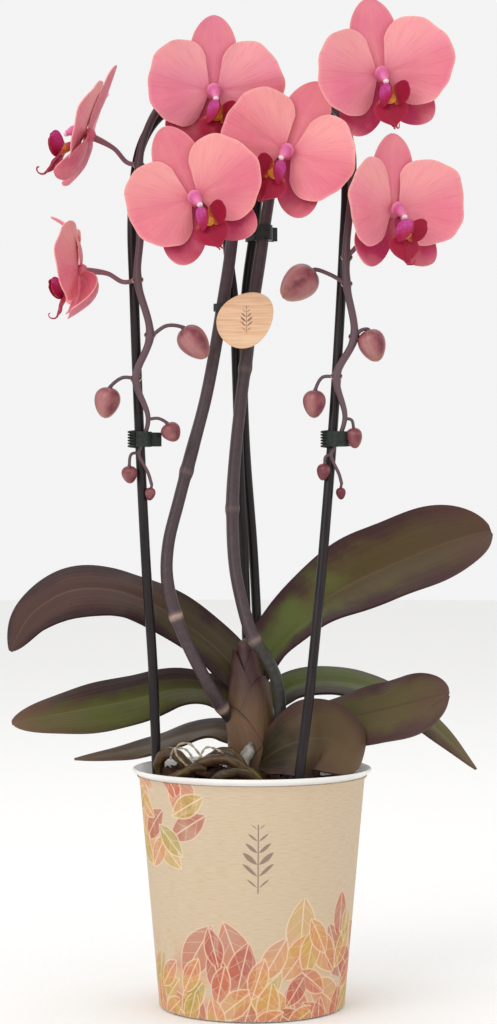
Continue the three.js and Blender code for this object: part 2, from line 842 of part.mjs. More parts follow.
// The stalk of a bloom, from its node on the spike round to the back of the flower.
function stalk(bloom, grow = 0) {
  const matrix = bloomMatrix(bloom);
  const end = V(0, 0, OVARY_BACK).applyMatrix4(matrix);
  const before = V(0, -1.5, OVARY_BACK - 11).applyMatrix4(matrix);
  const start = V(...bloom.node);
  const middle = start.clone().lerp(before, 0.5).add(V(0, 1.5, -2.5));
  const route = [start, middle, before, end].map((p) => p.toArray());
  return limb(route, (t) => mix(STALK_R, STALK_R + 0.6, smooth((t - 0.4) / 0.6)) + grow, 5, 5);
}

// A whole spike: stem, buds on their stalks, and the stalks of its blooms.
function spike(name, grow = 0) {
  const { stem, buds } = SPIKES[name];
  const pieces = [limb(stem, (t) => stemRadiusAt(t) + grow, 6, 42)];
  for (const one of buds) {
    const inside = one.at.map((c, i) => mix(c, one.tip[i], 0.2));
    pieces.push(limb([one.from, one.via, one.at, inside], () => 0.6 + 0.06 * one.size + grow, 4, 4));
    pieces.push(bud(one, grow));
  }
  for (const bloom of Object.values(BLOOMS)) {
    if (bloom.spike === name) pieces.push(stalk(bloom, grow));
  }
  return joined(pieces);
}

// Spring clips hold each stem to its wire: jaws round both, a coil, and a pair of finger wings. span is how
// far apart stem and wire are, turn the direction from wire to stem, and wings where the wings point.

const CLIPS = {
  clip_left: { at: [-59, -13, 302], span: 4, turn: -69, wings: 16 },
  clip_right: { at: [43.7, -18.8, 302], span: 4, turn: -50, wings: 42 },
  clip_top: { at: [3.7, 12.2, 414], span: 9, turn: -61, wings: 35 },
};

function clip({ at, span, turn, wings }) {
  const shape = new THREE.Shape();
  shape.absarc(-span / 2, 0, JAW_R, Math.PI * 0.5, Math.PI * 1.5);
  shape.absarc(span / 2, 0, JAW_R, -Math.PI * 0.5, Math.PI * 0.5);
  const jaws = new THREE.ExtrudeGeometry(shape, { depth: CLIP_H, bevelEnabled: false, curveSegments: 5 });
  jaws.translate(0, 0, -CLIP_H / 2).rotateZ(turn * DEGREE);
  const pieces = [solidOf(jaws)];
  for (const side of [1, -1]) {
    const wing = new THREE.BoxGeometry(6, 1.3, CLIP_H - 0.6);
    pieces.push(solidOf(wing.translate(JAW_R + 2.6, side * 1.5, 0).rotateZ(wings * DEGREE)));
  }
  const bridge = new THREE.BoxGeometry(2.4, 3.4, CLIP_H - 2);
  pieces.push(solidOf(bridge.translate(JAW_R + 0.6, 0, 0).rotateZ(wings * DEGREE)));
  return joined(pieces).translate(at);
}

// The tag is an egg-shaped veneer plate. Its holder is a ring round the left stem with an arm to the plate.

const TAG = { at: [-3.2, -6.5, 366.2], lean: 42, halfLong: 16.4, halfWide: 13.6, corners: 22 };
const HOLDER = { at: [-16, 7, 373.5], ringR: 5, high: 4 };

function nameTag() {
  const outline = [];
  for (let i = 0; i < TAG.corners; i++) {
    const turn = (i / TAG.corners) * Math.PI * 2;
    const blunt = 1 - 0.14 * Math.cos(turn); // the end away from the lean is the blunt one
    outline.push(new THREE.Vector2(TAG.halfLong * Math.cos(turn), TAG.halfWide * Math.sin(turn) * blunt));
  }
  const plate = new THREE.ExtrudeGeometry(new THREE.Shape(outline), { depth: TAG_T, bevelEnabled: false });
  plate.rotateZ(TAG.lean * DEGREE).rotateX(Math.PI / 2).translate(...TAG.at);
  return solidOf(plate);
}

function tagHolder() {
  const { at, ringR, high } = HOLDER;
  const ring = new THREE.CylinderGeometry(ringR, ringR, high, 10).rotateX(Math.PI / 2);
  const reach = at[1] - TAG.at[1] - GAP;
  const arm = new THREE.BoxGeometry(3, reach, high).translate(1, -reach / 2, 0);
  return joined([solidOf(ring), solidOf(arm)]).translate(at);
}

// Assembly.

const group = new THREE.Group();
const PAINT = {
  pot: [0xeeece8, 0.45],
  sleeve: [0xd8c19c, 0.7],
  grow_pot: [0xcfd6d2, 0.2],
  bark: [0x3a2a20, 0.9],
  root: [0x8a8a5a, 0.6],
  crown: [0x5a4438, 0.5],
  leaf: [0x54503a, 0.4],
  hoop: [0x2c2628, 0.4],
  stem: [0x54404a, 0.5],
  tepal: [0xe8808c, 0.5],
  lip: [0xa81c3c, 0.45],
  column: [0xd066a8, 0.4],
  clip: [0x1d2422, 0.4],
  tag: [0xe6b892, 0.6],
};

function place(name, solid, paint) {
  const [color, roughness] = PAINT[paint];
  const material = new THREE.MeshStandardMaterial({ color, roughness, metalness: 0 });
  const mesh = new THREE.Mesh(geometryOf(solid), material);
  mesh.name = name;
  group.add(mesh);
}

const spikes = { spike_left: spike("spike_left"), spike_right: spike("spike_right") };
const fatCrown = crown(GAP);
const fatHoops = Object.keys(HOOPS).map((name) => hoop(name, GAP));
const fatSpikes = Object.keys(SPIKES).map((name) => spike(name, GAP));
const fatRoots = ROOTS.map((root) => rootLimb(root, GAP));

place("decorative_pot", decorativePot(), "pot");
place("printed_sleeve", printedSleeve(), "sleeve");
place("grow_pot", growPot(), "grow_pot");
const filling = joined([barkBody(), ...barkChips()]).intersect(growPotInside());
place("bark", largestBody(cutClear(filling, [fatCrown, ...fatHoops, ...fatRoots])), "bark");
const roots = joined(ROOTS.map((root) => rootLimb(root)));
place("roots", largestBody(cutClear(roots, [fatCrown, ...fatHoops])), "root");
place("crown", crown(), "crown");
for (const [name, spec] of Object.entries(LEAVES)) {
  place(name, largestBody(cutClear(leaf(spec), [fatCrown])), "leaf");
}
for (const name of Object.keys(HOOPS)) place(name, hoop(name), "hoop");
for (const [name, solid] of Object.entries(spikes)) {
  place(name, largestBody(cutClear(solid, [fatCrown])), "stem");
}
for (const [name, bloom] of Object.entries(BLOOMS)) {
  const matrix = bloomMatrix(bloom);
  const inPlace = (solid) => solidOf(geometryOf(solid).applyMatrix4(matrix));
  place(`${name}_tepals`, inPlace(largestBody(tepals(bloom))), "tepal");
  place(`${name}_column`, inPlace(column()), "column");
  place(`${name}_lip`, inPlace(largestBody(cutClear(lip(), [heart(GAP)]))), "lip");
}
for (const [name, spec] of Object.entries(CLIPS)) {
  place(name, largestBody(cutClear(clip(spec), [...fatHoops, ...fatSpikes])), "clip");
}
place("name_tag", nameTag(), "tag");
place("tag_holder", largestBody(cutClear(tagHolder(), fatSpikes)), "clip");

export default group;
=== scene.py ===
"""Looks of a potted moth orchid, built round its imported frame.

Lengths are in millimetres in the row frame, +Z up, with the front of the plant towards -Y, and are turned
to metres where a mesh is made.
"""

from __future__ import annotations

import logging
import math
from collections.abc import Sequence
from dataclasses import dataclass
from enum import Enum
import bpy  # noqa: E402
import numpy as np  # noqa: E402
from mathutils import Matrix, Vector  # noqa: E402


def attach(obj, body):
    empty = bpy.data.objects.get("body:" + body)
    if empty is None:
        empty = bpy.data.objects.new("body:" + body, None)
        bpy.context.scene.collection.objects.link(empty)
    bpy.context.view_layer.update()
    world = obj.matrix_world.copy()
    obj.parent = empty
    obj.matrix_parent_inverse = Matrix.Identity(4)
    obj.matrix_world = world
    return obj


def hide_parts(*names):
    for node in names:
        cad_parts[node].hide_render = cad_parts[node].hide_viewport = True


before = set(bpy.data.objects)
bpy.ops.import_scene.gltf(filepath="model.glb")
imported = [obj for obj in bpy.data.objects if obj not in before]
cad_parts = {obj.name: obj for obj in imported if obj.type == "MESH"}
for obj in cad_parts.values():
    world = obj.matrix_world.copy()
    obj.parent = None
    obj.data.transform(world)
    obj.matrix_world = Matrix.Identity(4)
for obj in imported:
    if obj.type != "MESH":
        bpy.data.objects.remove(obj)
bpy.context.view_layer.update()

log = logging.getLogger("orchid")
MM = 0.001
FULL = 2 * math.pi
END = 1e-4  # a share this near 0 or 1 is an end
PIN = 0.002  # radius that closes a limb's end
Array = np.ndarray
Number = float | Array
Point = tuple[float, float, float]
Points = Sequence[Point | Array]
Object = bpy.types.Object
Material = bpy.types.Material
Node = bpy.types.Node
Socket = bpy.types.NodeSocket


# Numbers and curves.


def mix(a: Number, b: Number, t: Number) -> Number:
    """Blend from a at t = 0 to b at t = 1."""
    return a + (b - a) * t


def smooth(x: Number) -> Number:
    """Ease from 0 to 1 as x goes from 0 to 1, held outside that."""
    t = np.clip(x, 0, 1)
    return t * t * (3 - 2 * t)


def hump(x: Number, middle: float, width: float) -> Number:
    """A smooth bump of height 1 at middle."""
    return np.exp(-(((x - middle) / width) ** 2))


def stack(x: Number, y: Number, z: Number) -> Array:
    """Rows of points from their three columns."""
    return np.stack(np.broadcast_arrays(x, y, z), axis=1)


def unit(v: Array) -> Array:
    """Directions of length 1, one alone or in rows."""
    return v / np.linalg.norm(v, axis=-1, keepdims=True)


class Route:
    """A smooth curve through a few points, walked evenly, with a frame that does not twist along it."""

    def __init__(self, points: Points | Array, steps: int = 320) -> None:
        """Fit the curve and carry a frame along it.

        Args:
            points: the points it passes through.
            steps: how many even steps it is stored in.
        """
        p = np.array(points, float)
        # Each run between two points leaves and arrives at a speed that its neighbours give.
        p = np.vstack([2 * p[0] - p[1], p, 2 * p[-1] - p[-2]])
        share = np.linspace(0, 1, 24, endpoint=False)[:, None]
        runs = []
        for a, b, c, d in zip(p, p[1:], p[2:], p[3:]):
            ab, bc, cd = (math.sqrt(np.linalg.norm(q - r)) for q, r in ((b, a), (c, b), (d, c)))
            leave = ((b - a) / ab - (c - a) / (ab + bc) + (c - b) / bc) * bc
            arrive = ((c - b) / bc - (d - b) / (bc + cd) + (d - c) / cd) * bc
            square, cube = 3 * (c - b) - 2 * leave - arrive, 2 * (b - c) + leave + arrive
            runs.append(b + leave * share + square * share**2 + cube * share**3)
        line = np.vstack([*runs, p[-2:-1]])
        reach = np.concatenate([[0], np.cumsum(np.linalg.norm(np.diff(line, axis=0), axis=1))])
        self.steps = np.linspace(0, 1, steps + 1)
        self.points = stack(*(np.interp(self.steps * reach[-1], reach, axis) for axis in line.T))
        self.heading = unit(np.gradient(self.points, axis=0))
        normal = np.cross(self.heading[0], (1, 0, 0) if abs(self.heading[0][0]) < 0.7 else (0, 1, 0))
        normals = []
        for ahead in self.heading:
            normal = unit(normal - ahead * (normal @ ahead))
            normals.append(normal)
        self.normal = np.array(normals)
        self.side = np.cross(self.heading, self.normal)

    def read(self, rows: Array, t: Array) -> Array:
        """Rows stored at the even steps, read at shares t of the length."""
        return stack(*(np.interp(t, self.steps, column) for column in rows.T))

    def nearest(self, off: Array) -> float:
        """The share of the length where a value stored at the even steps is least."""
        return float(self.steps[int(np.argmin(off))])


# Meshes.


def only(obj: Object) -> None:
    """Select one object alone and make it active.

    Args:
        obj: the object.
    """
    bpy.ops.object.select_all(action="DESELECT")
    obj.select_set(True)
    bpy.context.view_layer.objects.active = obj


def named(name: str) -> Object:
    """Give the active object and its mesh a name.

    Args:
        name: the name.

    Returns:
        The object.
    """
    obj = bpy.context.object
    obj.name = obj.data.name = name
    return obj


def vertices(obj: Object, kind: str = "co") -> Array:
    """An object's vertices, or their normals, as rows in metres.

    Args:
        obj: the object.
        kind: co for the places, vector for the normals.

    Returns:
        A row for each vertex.
    """
    flat = np.empty(len(obj.data.vertices) * 3)
    (obj.data.vertices if kind == "co" else obj.data.vertex_normals).foreach_get(kind, flat)
    return flat.reshape(-1, 3)


def move(obj: Object, points: Array) -> None:
    """Move an object's vertices to points in millimetres."""
    obj.data.vertices.foreach_set("co", (points * MM).ravel())
    obj.data.update()


def closed(obj: Object) -> Object:
    """Merge a rolled sheet's doubled vertices, fill its holes and turn its faces outwards.

    Args:
        obj: the object.

    Returns:
        The same object.
    """
    only(obj)
    bpy.ops.object.mode_set(mode="EDIT")
    bpy.ops.mesh.select_all(action="SELECT")
    bpy.ops.mesh.remove_doubles(threshold=0.01 * MM)
    bpy.ops.mesh.fill_holes(sides=0)
    bpy.ops.mesh.normals_make_consistent(inside=False)
    bpy.ops.object.mode_set(mode="OBJECT")
    return obj


class Grid:
    """A grid to lay over a surface: shares s across and t along it, v from -1 to 1 and a turn across."""

    def __init__(self, columns: int, rows: int) -> None:
        """Work out the shares in the order of the grid's vertices.

        Args:
            columns: faces across.
            rows: faces along.
        """
        self.columns, self.rows = columns, rows
        along, across = np.divmod(np.arange((columns + 1) * (rows + 1)), columns + 1)
        self.s, self.t = across / columns, along / rows
        self.v, self.turn = 2 * self.s - 1, FULL * self.s
        self.ends = (self.t < END) | (self.t > 1 - END)

    def surface(self, name: str, points: Array, **shades: Number) -> Object:
        """Lay the grid over a surface. Its UV map keeps the two shares.

        Args:
            name: the object's name.
            points: a place in millimetres for each vertex.
            **shades: values from 0 to 1 for each vertex, kept as attributes for the material.

        Returns:
            The new object, a single sheet.
        """
        bpy.ops.object.select_all(action="DESELECT")
        bpy.ops.mesh.primitive_grid_add(x_subdivisions=self.columns, y_subdivisions=self.rows, size=2 * MM)
        obj = named(name)
        move(obj, points)
        for key, value in shades.items():
            layer = obj.data.attributes.new(key, "FLOAT", "POINT")
            layer.data.foreach_set("value", np.broadcast_to(value, len(points)).astype(np.float32))
        return obj

    def limb(self, name: str, route: Route, radius: Number, **shades: Number) -> Object:
        """A round limb along a route, closed at both ends.

        Args:
            name: the object's name.
            route: its middle line.
            radius: in millimetres, for each vertex or the whole limb.
            **shades: attributes, as for a surface.

        Returns:
            The new object.
        """
        wide = radius * np.where(self.ends, PIN, 1)
        side, normal = route.read(route.side, self.t), route.read(route.normal, self.t)
        out = side * np.cos(self.turn)[:, None] + normal * np.sin(self.turn)[:, None]
        return closed(self.surface(name, route.read(route.points, self.t) + out * wide[:, None], **shades))


def modified(obj: Object, kind: str, **settings: object) -> Object:
    """Add a modifier, set it and apply it.

    Args:
        obj: the object.
        kind: the modifier's type.
        **settings: its values.

    Returns:
        The same object.
    """
    only(obj)
    bpy.ops.object.modifier_add(type=kind)
    made = obj.modifiers[-1]
    for key, value in settings.items():
        setattr(made, key, value)
    bpy.ops.object.modifier_apply(modifier=made.name)
    return obj


def thick(obj: Object, millimetres: float) -> Object:
    """Give a sheet its thickness, half to each side."""
    return modified(obj, "SOLIDIFY", thickness=millimetres * MM, offset=0)


def joined(name: str, objects: list[Object]) -> Object:
    """Join objects into one.

    Args:
        name: the joined object's name.
        objects: what is joined, the first of which keeps its place.

    Returns:
        The joined object.
    """
    only(objects[0])
    for obj in objects:
        obj.select_set(True)
    bpy.ops.object.join()
    return named(name)


def turned(name: str, profile: list[tuple[float, float]], sides: int) -> Object:
    """Turn a closed shell: a ring is extruded, moved and resized along a profile, and its two ends filled.

    Args:
        name: the object's name.
        profile: radius and height of each ring, in millimetres.
        sides: faces round it.

    Returns:
        The new object.
    """
    (radius, height), *rest = profile
    bpy.ops.object.select_all(action="DESELECT")
    bpy.ops.mesh.primitive_circle_add(vertices=sides, radius=radius * MM, location=(0, 0, height * MM))
    obj = named(name)
    bpy.ops.object.mode_set(mode="EDIT")
    bpy.ops.mesh.select_all(action="SELECT")
    for wide, high in rest:
        lift = (0, 0, (high - height) * MM)
        bpy.ops.mesh.extrude_region_move(TRANSFORM_OT_translate={"value": lift})
        grow = wide / radius
        bpy.ops.transform.resize(value=(grow, grow, 1), center_override=(0, 0, high * MM))
        radius, height = wide, high
    bpy.ops.mesh.select_all(action="SELECT")
    bpy.ops.mesh.fill_holes(sides=0)
    bpy.ops.mesh.normals_make_consistent(inside=False)
    bpy.ops.object.mode_set(mode="OBJECT")
    bpy.ops.object.transform_apply(location=True, rotation=True, scale=True)
    return obj


def dress(obj: Object, material: Material, slot: str, *replaced: str, crease: float = 40) -> None:
    """Shade a piece, give it its material and hang it on the frame.

    Args:
        obj: the piece.
        material: its material.
        slot: the record's material slot, not used.
        *replaced: the CAD nodes it stands for.
        crease: edges sharper than this many degrees stay sharp.
    """
    only(obj)
    bpy.ops.object.shade_smooth_by_angle(angle=math.radians(crease))
    obj.data.materials.clear()
    obj.data.materials.append(material)
    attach(obj, "root")
    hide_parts(*replaced)
    log.info("%s: %d faces", obj.name, len(obj.data.polygons))


# Materials.


def linear(code: str) -> tuple[float, float, float, float]:
    """Turn an sRGB hex colour into linear RGBA.

    Args:
        code: six hex digits.

    Returns:
        Linear red, green and blue, and an alpha of 1.
    """
    parts = [int(code[i : i + 2], 16) / 255 for i in (0, 2, 4)]
    red, green, blue = (c / 12.92 if c <= 0.04045 else ((c + 0.055) / 1.055) ** 2.4 for c in parts)
    return red, green, blue, 1.0


UNDER, OVER = 6, 7  # a Mix node's inputs for the colour below and the colour laid over it


class Recipe:
    """A material's node tree, added to one node at a time, with its shader and output in place."""

    def __init__(self, name: str, **shader: float | tuple) -> None:
        """Start a material with a shader and an output.

        Args:
            name: the material's name.
            **shader: values set on the shader's own sockets, by name with underscores for spaces.
        """
        self.material = bpy.data.materials.new(name)
        self.material.use_nodes = True
        self.tree = self.material.node_tree
        self.tree.nodes.clear()
        self.shader = self.add("BsdfPrincipled", {k.replace("_", " "): v for k, v in shader.items()})
        self.add("OutputMaterial", (self.shader,))

    def plug(self, node: Node, key: str | int, value: object) -> None:
        """Set an input to a value, or link it to a socket or to a node's first open output.

        Args:
            node: the node that has the input.
            key: the input's name or number.
            value: what goes in.
        """
        if isinstance(value, Node):
            value = next(out for out in value.outputs if out.enabled)
        if isinstance(value, Socket):
            self.tree.links.new(value, node.inputs[key])
        else:
            node.inputs[key].default_value = value

    def add(self, kind: str, inputs: tuple | dict = (), stops: tuple = (), **settings: object) -> Node:
        """Add a node with its settings and links.

        Args:
            kind: the node's type.
            inputs: what goes into its inputs, in order or by name or number.
            stops: positions and hex colours of a colour ramp.
            **settings: the node's own properties.

        Returns:
            The new node.
        """
        made = self.tree.nodes.new(f"ShaderNode{kind}")
        for key, value in settings.items():
            setattr(made, key, value)
        for key, value in inputs.items() if isinstance(inputs, dict) else enumerate(inputs):
            self.plug(made, key, value)
        for i, (position, code) in enumerate(stops):
            elements = made.color_ramp.elements
            stop = elements[i] if i < 2 else elements.new(position)
            stop.position, stop.color = position, linear(code)
        return made

    def done(self, color: Node, bump: Node, depth: float) -> Material:
        """Link the colour and a bump.

        Args:
            color: gives the colour.
            bump: gives the height, from 0 to 1.
            depth: how deep the bump is, in millimetres.

        Returns:
            The finished material.
        """
        self.plug(self.shader, "Base Color", color)
        relief = self.add("Bump", {"Height": bump, "Distance": depth * MM, "Strength": 1.0})
        self.plug(self.shader, "Normal", relief)
        return self.material


@dataclass(frozen=True)
class Tissue:
    """Living tissue that is blended between colours by attributes on its mesh, with streaks along its veins.

    Plant skin is a thin wax over wet cells: a soft gloss, colour that comes from a little below the surface,
    and veins that darken it in fine lines.
    """

    name: str
    base: str
    blends: tuple[tuple[str, str], ...]  # attribute and the colour it brings in
    vein: str
    veins: float  # streaks across the UV map
    vein_share: float
    mottle: float  # size of the soft blotches, in millimetres
    mottle_share: float
    roughness: float
    mottle_color: str = ""
    depth: float = 0.15
    glow: float = 0.0  # subsurface weight
    specular: float = 0.4

    def material(self) -> Material:
        """Build the material.

        Returns:
            The material.
        """
        r = Recipe(
            self.name,
            Roughness=self.roughness,
            IOR=1.42,
            Subsurface_Weight=self.glow,
            Subsurface_Radius=(1.0, 0.45, 0.35),
            Subsurface_Scale=1.2 * MM,
            Specular_IOR_Level=self.specular,
        )
        at = r.add("TexCoord")
        layers = [(r.add("Attribute", attribute_name=key).outputs["Fac"], code) for key, code in self.blends]
        size = 1 / (self.mottle * MM)
        blotch = r.add("TexNoise", {"Vector": at.outputs["Object"], "Scale": size, "Detail": 3.0})
        much = r.add("MapRange", (blotch, 0.42, 0.68, 0.0, self.mottle_share))
        stretch = r.add("Mapping", {"Vector": at.outputs["UV"], "Scale": (self.veins, 2.2, 1.0)})
        streak = r.add("TexNoise", {"Vector": stretch, "Scale": 1.0, "Detail": 2.0})
        line = r.add("MapRange", (streak, 0.5, 0.72, 0.0, self.vein_share))
        color: object = linear(self.base)
        for share, code in (*layers, (much, self.mottle_color or self.vein), (line, self.vein)):
            color = r.add("Mix", {0: share, UNDER: color, OVER: linear(code)}, data_type="RGBA")
        return r.done(color, streak, self.depth)


@dataclass(frozen=True)
class LeafSkin:
    """A thick waxy leaf: parallel veins, a sunken midrib, and a colour for middle, margins, root and tip."""

    name: str
    middle: str
    margin: str
    tip: str
    root: str
    line: str  # colour of the midrib and veins
    margin_from: float
    tip_from: float
    lean: float = 0.0  # moves the band between the margins to one side

    def material(self) -> Material:
        """Build the material.

        Returns:
            The material.
        """
        r = Recipe(self.name, Roughness=0.4, IOR=1.45, Specular_IOR_Level=0.18)
        at = r.add("TexCoord")
        uv = r.add("SeparateXYZ", (at.outputs["UV"],))
        blotch = r.add("TexNoise", {"Vector": at.outputs["Object"], "Scale": 1 / (16 * MM), "Detail": 4.0})
        loose = r.add("Math", (blotch, 0.5), operation="SUBTRACT")
        centred = r.add("Math", (uv, 0.5), operation="SUBTRACT")
        off = r.add("Math", (centred, self.lean), operation="SUBTRACT")
        aside = r.add("Math", (off,), operation="ABSOLUTE")
        edge = r.add("Math", (loose, 0.45, aside), operation="MULTIPLY_ADD")
        up = r.add("Math", (loose, 0.5, uv.outputs["Y"]), operation="MULTIPLY_ADD")
        # Veins run the length of the leaf, about 1.5 mm apart.
        stretch = r.add("Mapping", {"Vector": at.outputs["UV"], "Scale": (26.0, 1.2, 1.0)})
        streak = r.add("TexNoise", {"Vector": stretch, "Scale": 1.0, "Detail": 2.0})
        across = r.add("Math", (centred,), operation="ABSOLUTE")
        layers = (
            ((up, 0.36, 0.08), "SMOOTHSTEP", self.root),
            ((edge, self.margin_from / 2, 0.5), "SMOOTHSTEP", self.margin),
            ((up, self.tip_from, 1.0), "SMOOTHSTEP", self.tip),
            ((streak, 0.45, 0.8, 0.0, 0.22), "LINEAR", self.line),
            ((across, 0.022, 0.006, 0.0, 0.5), "SMOOTHSTEP", self.line),
        )
        color: object = linear(self.middle)
        for ends, ease, code in layers:
            share = r.add("MapRange", ends, interpolation_type=ease)
            color = r.add("Mix", {0: share, UNDER: color, OVER: linear(code)}, data_type="RGBA")
        return r.done(color, streak, 0.2)


@dataclass(frozen=True)
class Rough:
    """A plain stuff with grain: coated wire, moulded plastic, bark or dry root."""

    name: str
    dark: str
    light: str
    grain: Point  # size of the grain along X, Y and Z, in millimetres
    roughness: float
    depth: float
    low: float = 0.35
    high: float = 0.65
    specular: float = 0.5

    def material(self) -> Material:
        """Build the material.

        Returns:
            The material.
        """
        r = Recipe(self.name, Roughness=self.roughness, Specular_IOR_Level=self.specular)
        scale = tuple(1 / (size * MM) for size in self.grain)
        sized = r.add("Mapping", {"Vector": r.add("TexCoord").outputs["Object"], "Scale": scale})
        grain = r.add("TexNoise", {"Vector": sized, "Scale": 1.0, "Detail": 4.0})
        ramp = r.add("ValToRGB", (grain,), stops=((self.low, self.dark), (self.high, self.light)))
        return r.done(ramp, grain, self.depth)


def sprig(r: Recipe, mm: Node, centre: Point, high: float) -> Node:
    """Draw a plain sprig: a stem with pairs of leaves that get shorter to both ends.

    Args:
        r: the recipe it is drawn in.
        mm: gives a place in millimetres, whose second axis is the height.
        centre: the sprig's middle.
        high: its height.

    Returns:
        The node of a mask, 1 on the sprig.
    """
    # The sprig is 6 units high, with a pair of leaves in each unit.
    local = r.add("VectorMath", (mm, centre), operation="SUBTRACT")
    sized = r.add("VectorMath", {0: local, "Scale": 6 / high}, operation="SCALE")
    xy = r.add("SeparateXYZ", (sized,))
    side = r.add("Math", (xy,), operation="ABSOLUTE")
    away = r.add("Math", (xy.outputs["Y"],), operation="ABSOLUTE")
    slant = r.add("Math", (side, -0.8, xy.outputs["Y"]), operation="MULTIPLY_ADD")
    share = r.add("Math", (slant,), operation="FRACT")
    middle = r.add("Math", (share, 0.5), operation="SUBTRACT")
    across = r.add("Math", (middle,), operation="ABSOLUTE")
    reach = r.add("Math", (away, -0.26, 1.5), operation="MULTIPLY_ADD")
    left = r.add("Math", (reach, side), operation="SUBTRACT")
    bulge = r.add("Math", (side, left), operation="MULTIPLY")
    inside = r.add("Math", (bulge, 0.62, -0.02), operation="MULTIPLY_ADD")
    gap = r.add("Math", (inside, across), operation="SUBTRACT")
    leaf = r.add("MapRange", (gap, 0.0, 0.04))
    stem = r.add("MapRange", (side, 0.07, 0.04))
    both = r.add("Math", (leaf, stem), operation="MAXIMUM")
    ends = r.add("MapRange", (away, 3.0, 2.9, 0.0, 0.8))
    return r.add("Math", (both, ends), operation="MULTIPLY")


@dataclass(frozen=True)
class PrintedCard:
    """Kraft card with watercolour leaves: matt, with short fibres, and a print that lets the card through."""

    name: str = "kraft_card_with_leaves"
    card: str = "CEBAA0"
    fibre: str = "C0AA89"
    pale: str = "F0DEC4"
    ink: str = "7E675E"
    round_mm: float = 350.0  # length round the sleeve
    high_mm: float = 121.0
    band_top: float = 36.0  # middle height of the low band's upper edge, which swings up and down
    band_swing: float = 16.0
    patch_at: Point = (108.0, 118.0, 0.0)
    patch_r: float = 40.0
    mark_at: Point = (178.0, 84.0, 0.0)
    mark_high: float = 36.0
    washes: tuple = ((0.35, "C4705A"), (0.65, "C8AC66"), (0.5, "D89C74"))
    paints: tuple = ((0.1, "A9483F"), (0.9, "A89448"), (0.32, "C0664F"), (0.52, "D08A5A"), (0.7, "C9A256"))
    # Spacing and half length of a layer's leaves, the shift of its pattern, and how strong the paint is.
    layers: tuple[tuple[float, float, Point, float], ...] = (
        (33.0, 19.0, (7.0, 3.0, 0.0), 0.75),
        (29.0, 17.0, (133.0, 64.0, 0.0), 0.8),
        (25.0, 14.0, (251.0, 27.0, 0.0), 0.85),
        (21.0, 12.0, (377.0, 91.0, 0.0), 0.85),
    )

    def leaves(
        self, r: Recipe, mm: Node, cell: float, half: float, shift: Point
    ) -> tuple[Node, Node, Socket]:
        """Scatter leaves, one in a cell, each turned its own way.

        Args:
            r: the recipe.
            mm: gives the place on the sleeve in millimetres.
            cell: spacing of the leaves.
            half: half a leaf's length.
            shift: moves the pattern.

        Returns:
            The leaf's mask, its pale lines and its own random number.
        """
        moved = r.add("VectorMath", (mm, shift), operation="ADD")
        dots = {"Vector": moved, "Scale": 1 / cell, "Randomness": 0.7}
        cells = r.add("TexVoronoi", dots, voronoi_dimensions="2D")
        offset = r.add("VectorMath", (moved, cells.outputs["Position"]), operation="SUBTRACT")
        luck = r.add("SeparateColor", (cells.outputs["Color"],))
        turn = r.add("Math", (luck, 2.2, 0.5), operation="MULTIPLY_ADD")
        local = r.add("VectorRotate", {"Vector": offset, "Angle": turn}, rotation_type="Z_AXIS")
        ab = r.add("SeparateXYZ", (local,))
        along = r.add("Math", (ab, half), operation="DIVIDE")
        square = r.add("Math", (along, along), operation="MULTIPLY")
        width = r.add("Math", (square, -0.52 * half, 0.52 * half), operation="MULTIPLY_ADD")
        side = r.add("Math", (ab.outputs["Y"],), operation="ABSOLUTE")
        inside = r.add("Math", (width, side), operation="SUBTRACT")
        # The print keeps to a band low on the sleeve and a patch at the top, chosen leaf by leaf.
        home = r.add("VectorMath", (cells.outputs["Position"], shift), operation="SUBTRACT")
        xy = r.add("SeparateXYZ", (home,))
        wave = r.add("Math", (xy, FULL / self.round_mm, -2.65), operation="MULTIPLY_ADD")
        swing = r.add("Math", (wave,), operation="SINE")
        top = r.add("Math", (swing, self.band_swing, self.band_top), operation="MULTIPLY_ADD")
        low = r.add("Math", (xy.outputs["Y"], top), operation="LESS_THAN")
        patch = r.add("VectorMath", (home, self.patch_at), operation="DISTANCE")
        near = r.add("Math", (patch, self.patch_r), operation="LESS_THAN")
        either = r.add("Math", (low, near), operation="MAXIMUM")
        soft = r.add("MapRange", (inside, 0.0, 0.5))
        mask = r.add("Math", (soft, either), operation="MULTIPLY")
        # A pale outline, midrib and side veins, about 0.6 mm wide.
        rim = r.add("MapRange", (inside, 1.3, 0.8))
        rib = r.add("MapRange", (side, 0.5, 0.25))
        slant = r.add("Math", (side, -0.9, ab), operation="MULTIPLY_ADD")
        comb = r.add("Math", (slant, 3.6), operation="PINGPONG")
        vein = r.add("MapRange", (comb, 0.32, 0.12, 0.0, 0.6))
        frame_lines = r.add("Math", (rim, rib), operation="MAXIMUM")
        lines = r.add("Math", (frame_lines, vein), operation="MAXIMUM")
        return mask, lines, luck.outputs[1]

    def material(self) -> Material:
        """Build the material.

        Returns:
            The material.
        """
        r = Recipe(self.name, Roughness=0.78, Specular_IOR_Level=0.3)
        size = (self.round_mm, self.high_mm, 1.0)
        mm = r.add("VectorMath", (r.add("TexCoord").outputs["UV"], size), operation="MULTIPLY")
        # Fibres 6 mm long and 0.4 mm thick, coarser than real ones so that they show.
        fibres = r.add("Mapping", {"Vector": mm, "Scale": (0.16, 2.5, 1.0)})
        pulp = r.add("TexNoise", {"Vector": fibres, "Scale": 1.0, "Detail": 4.0})
        color = r.add("ValToRGB", (pulp,), stops=((0.25, self.fibre), (0.55, self.card)))
        wash = r.add("TexNoise", {"Vector": mm, "Scale": 0.09, "Detail": 5.0})
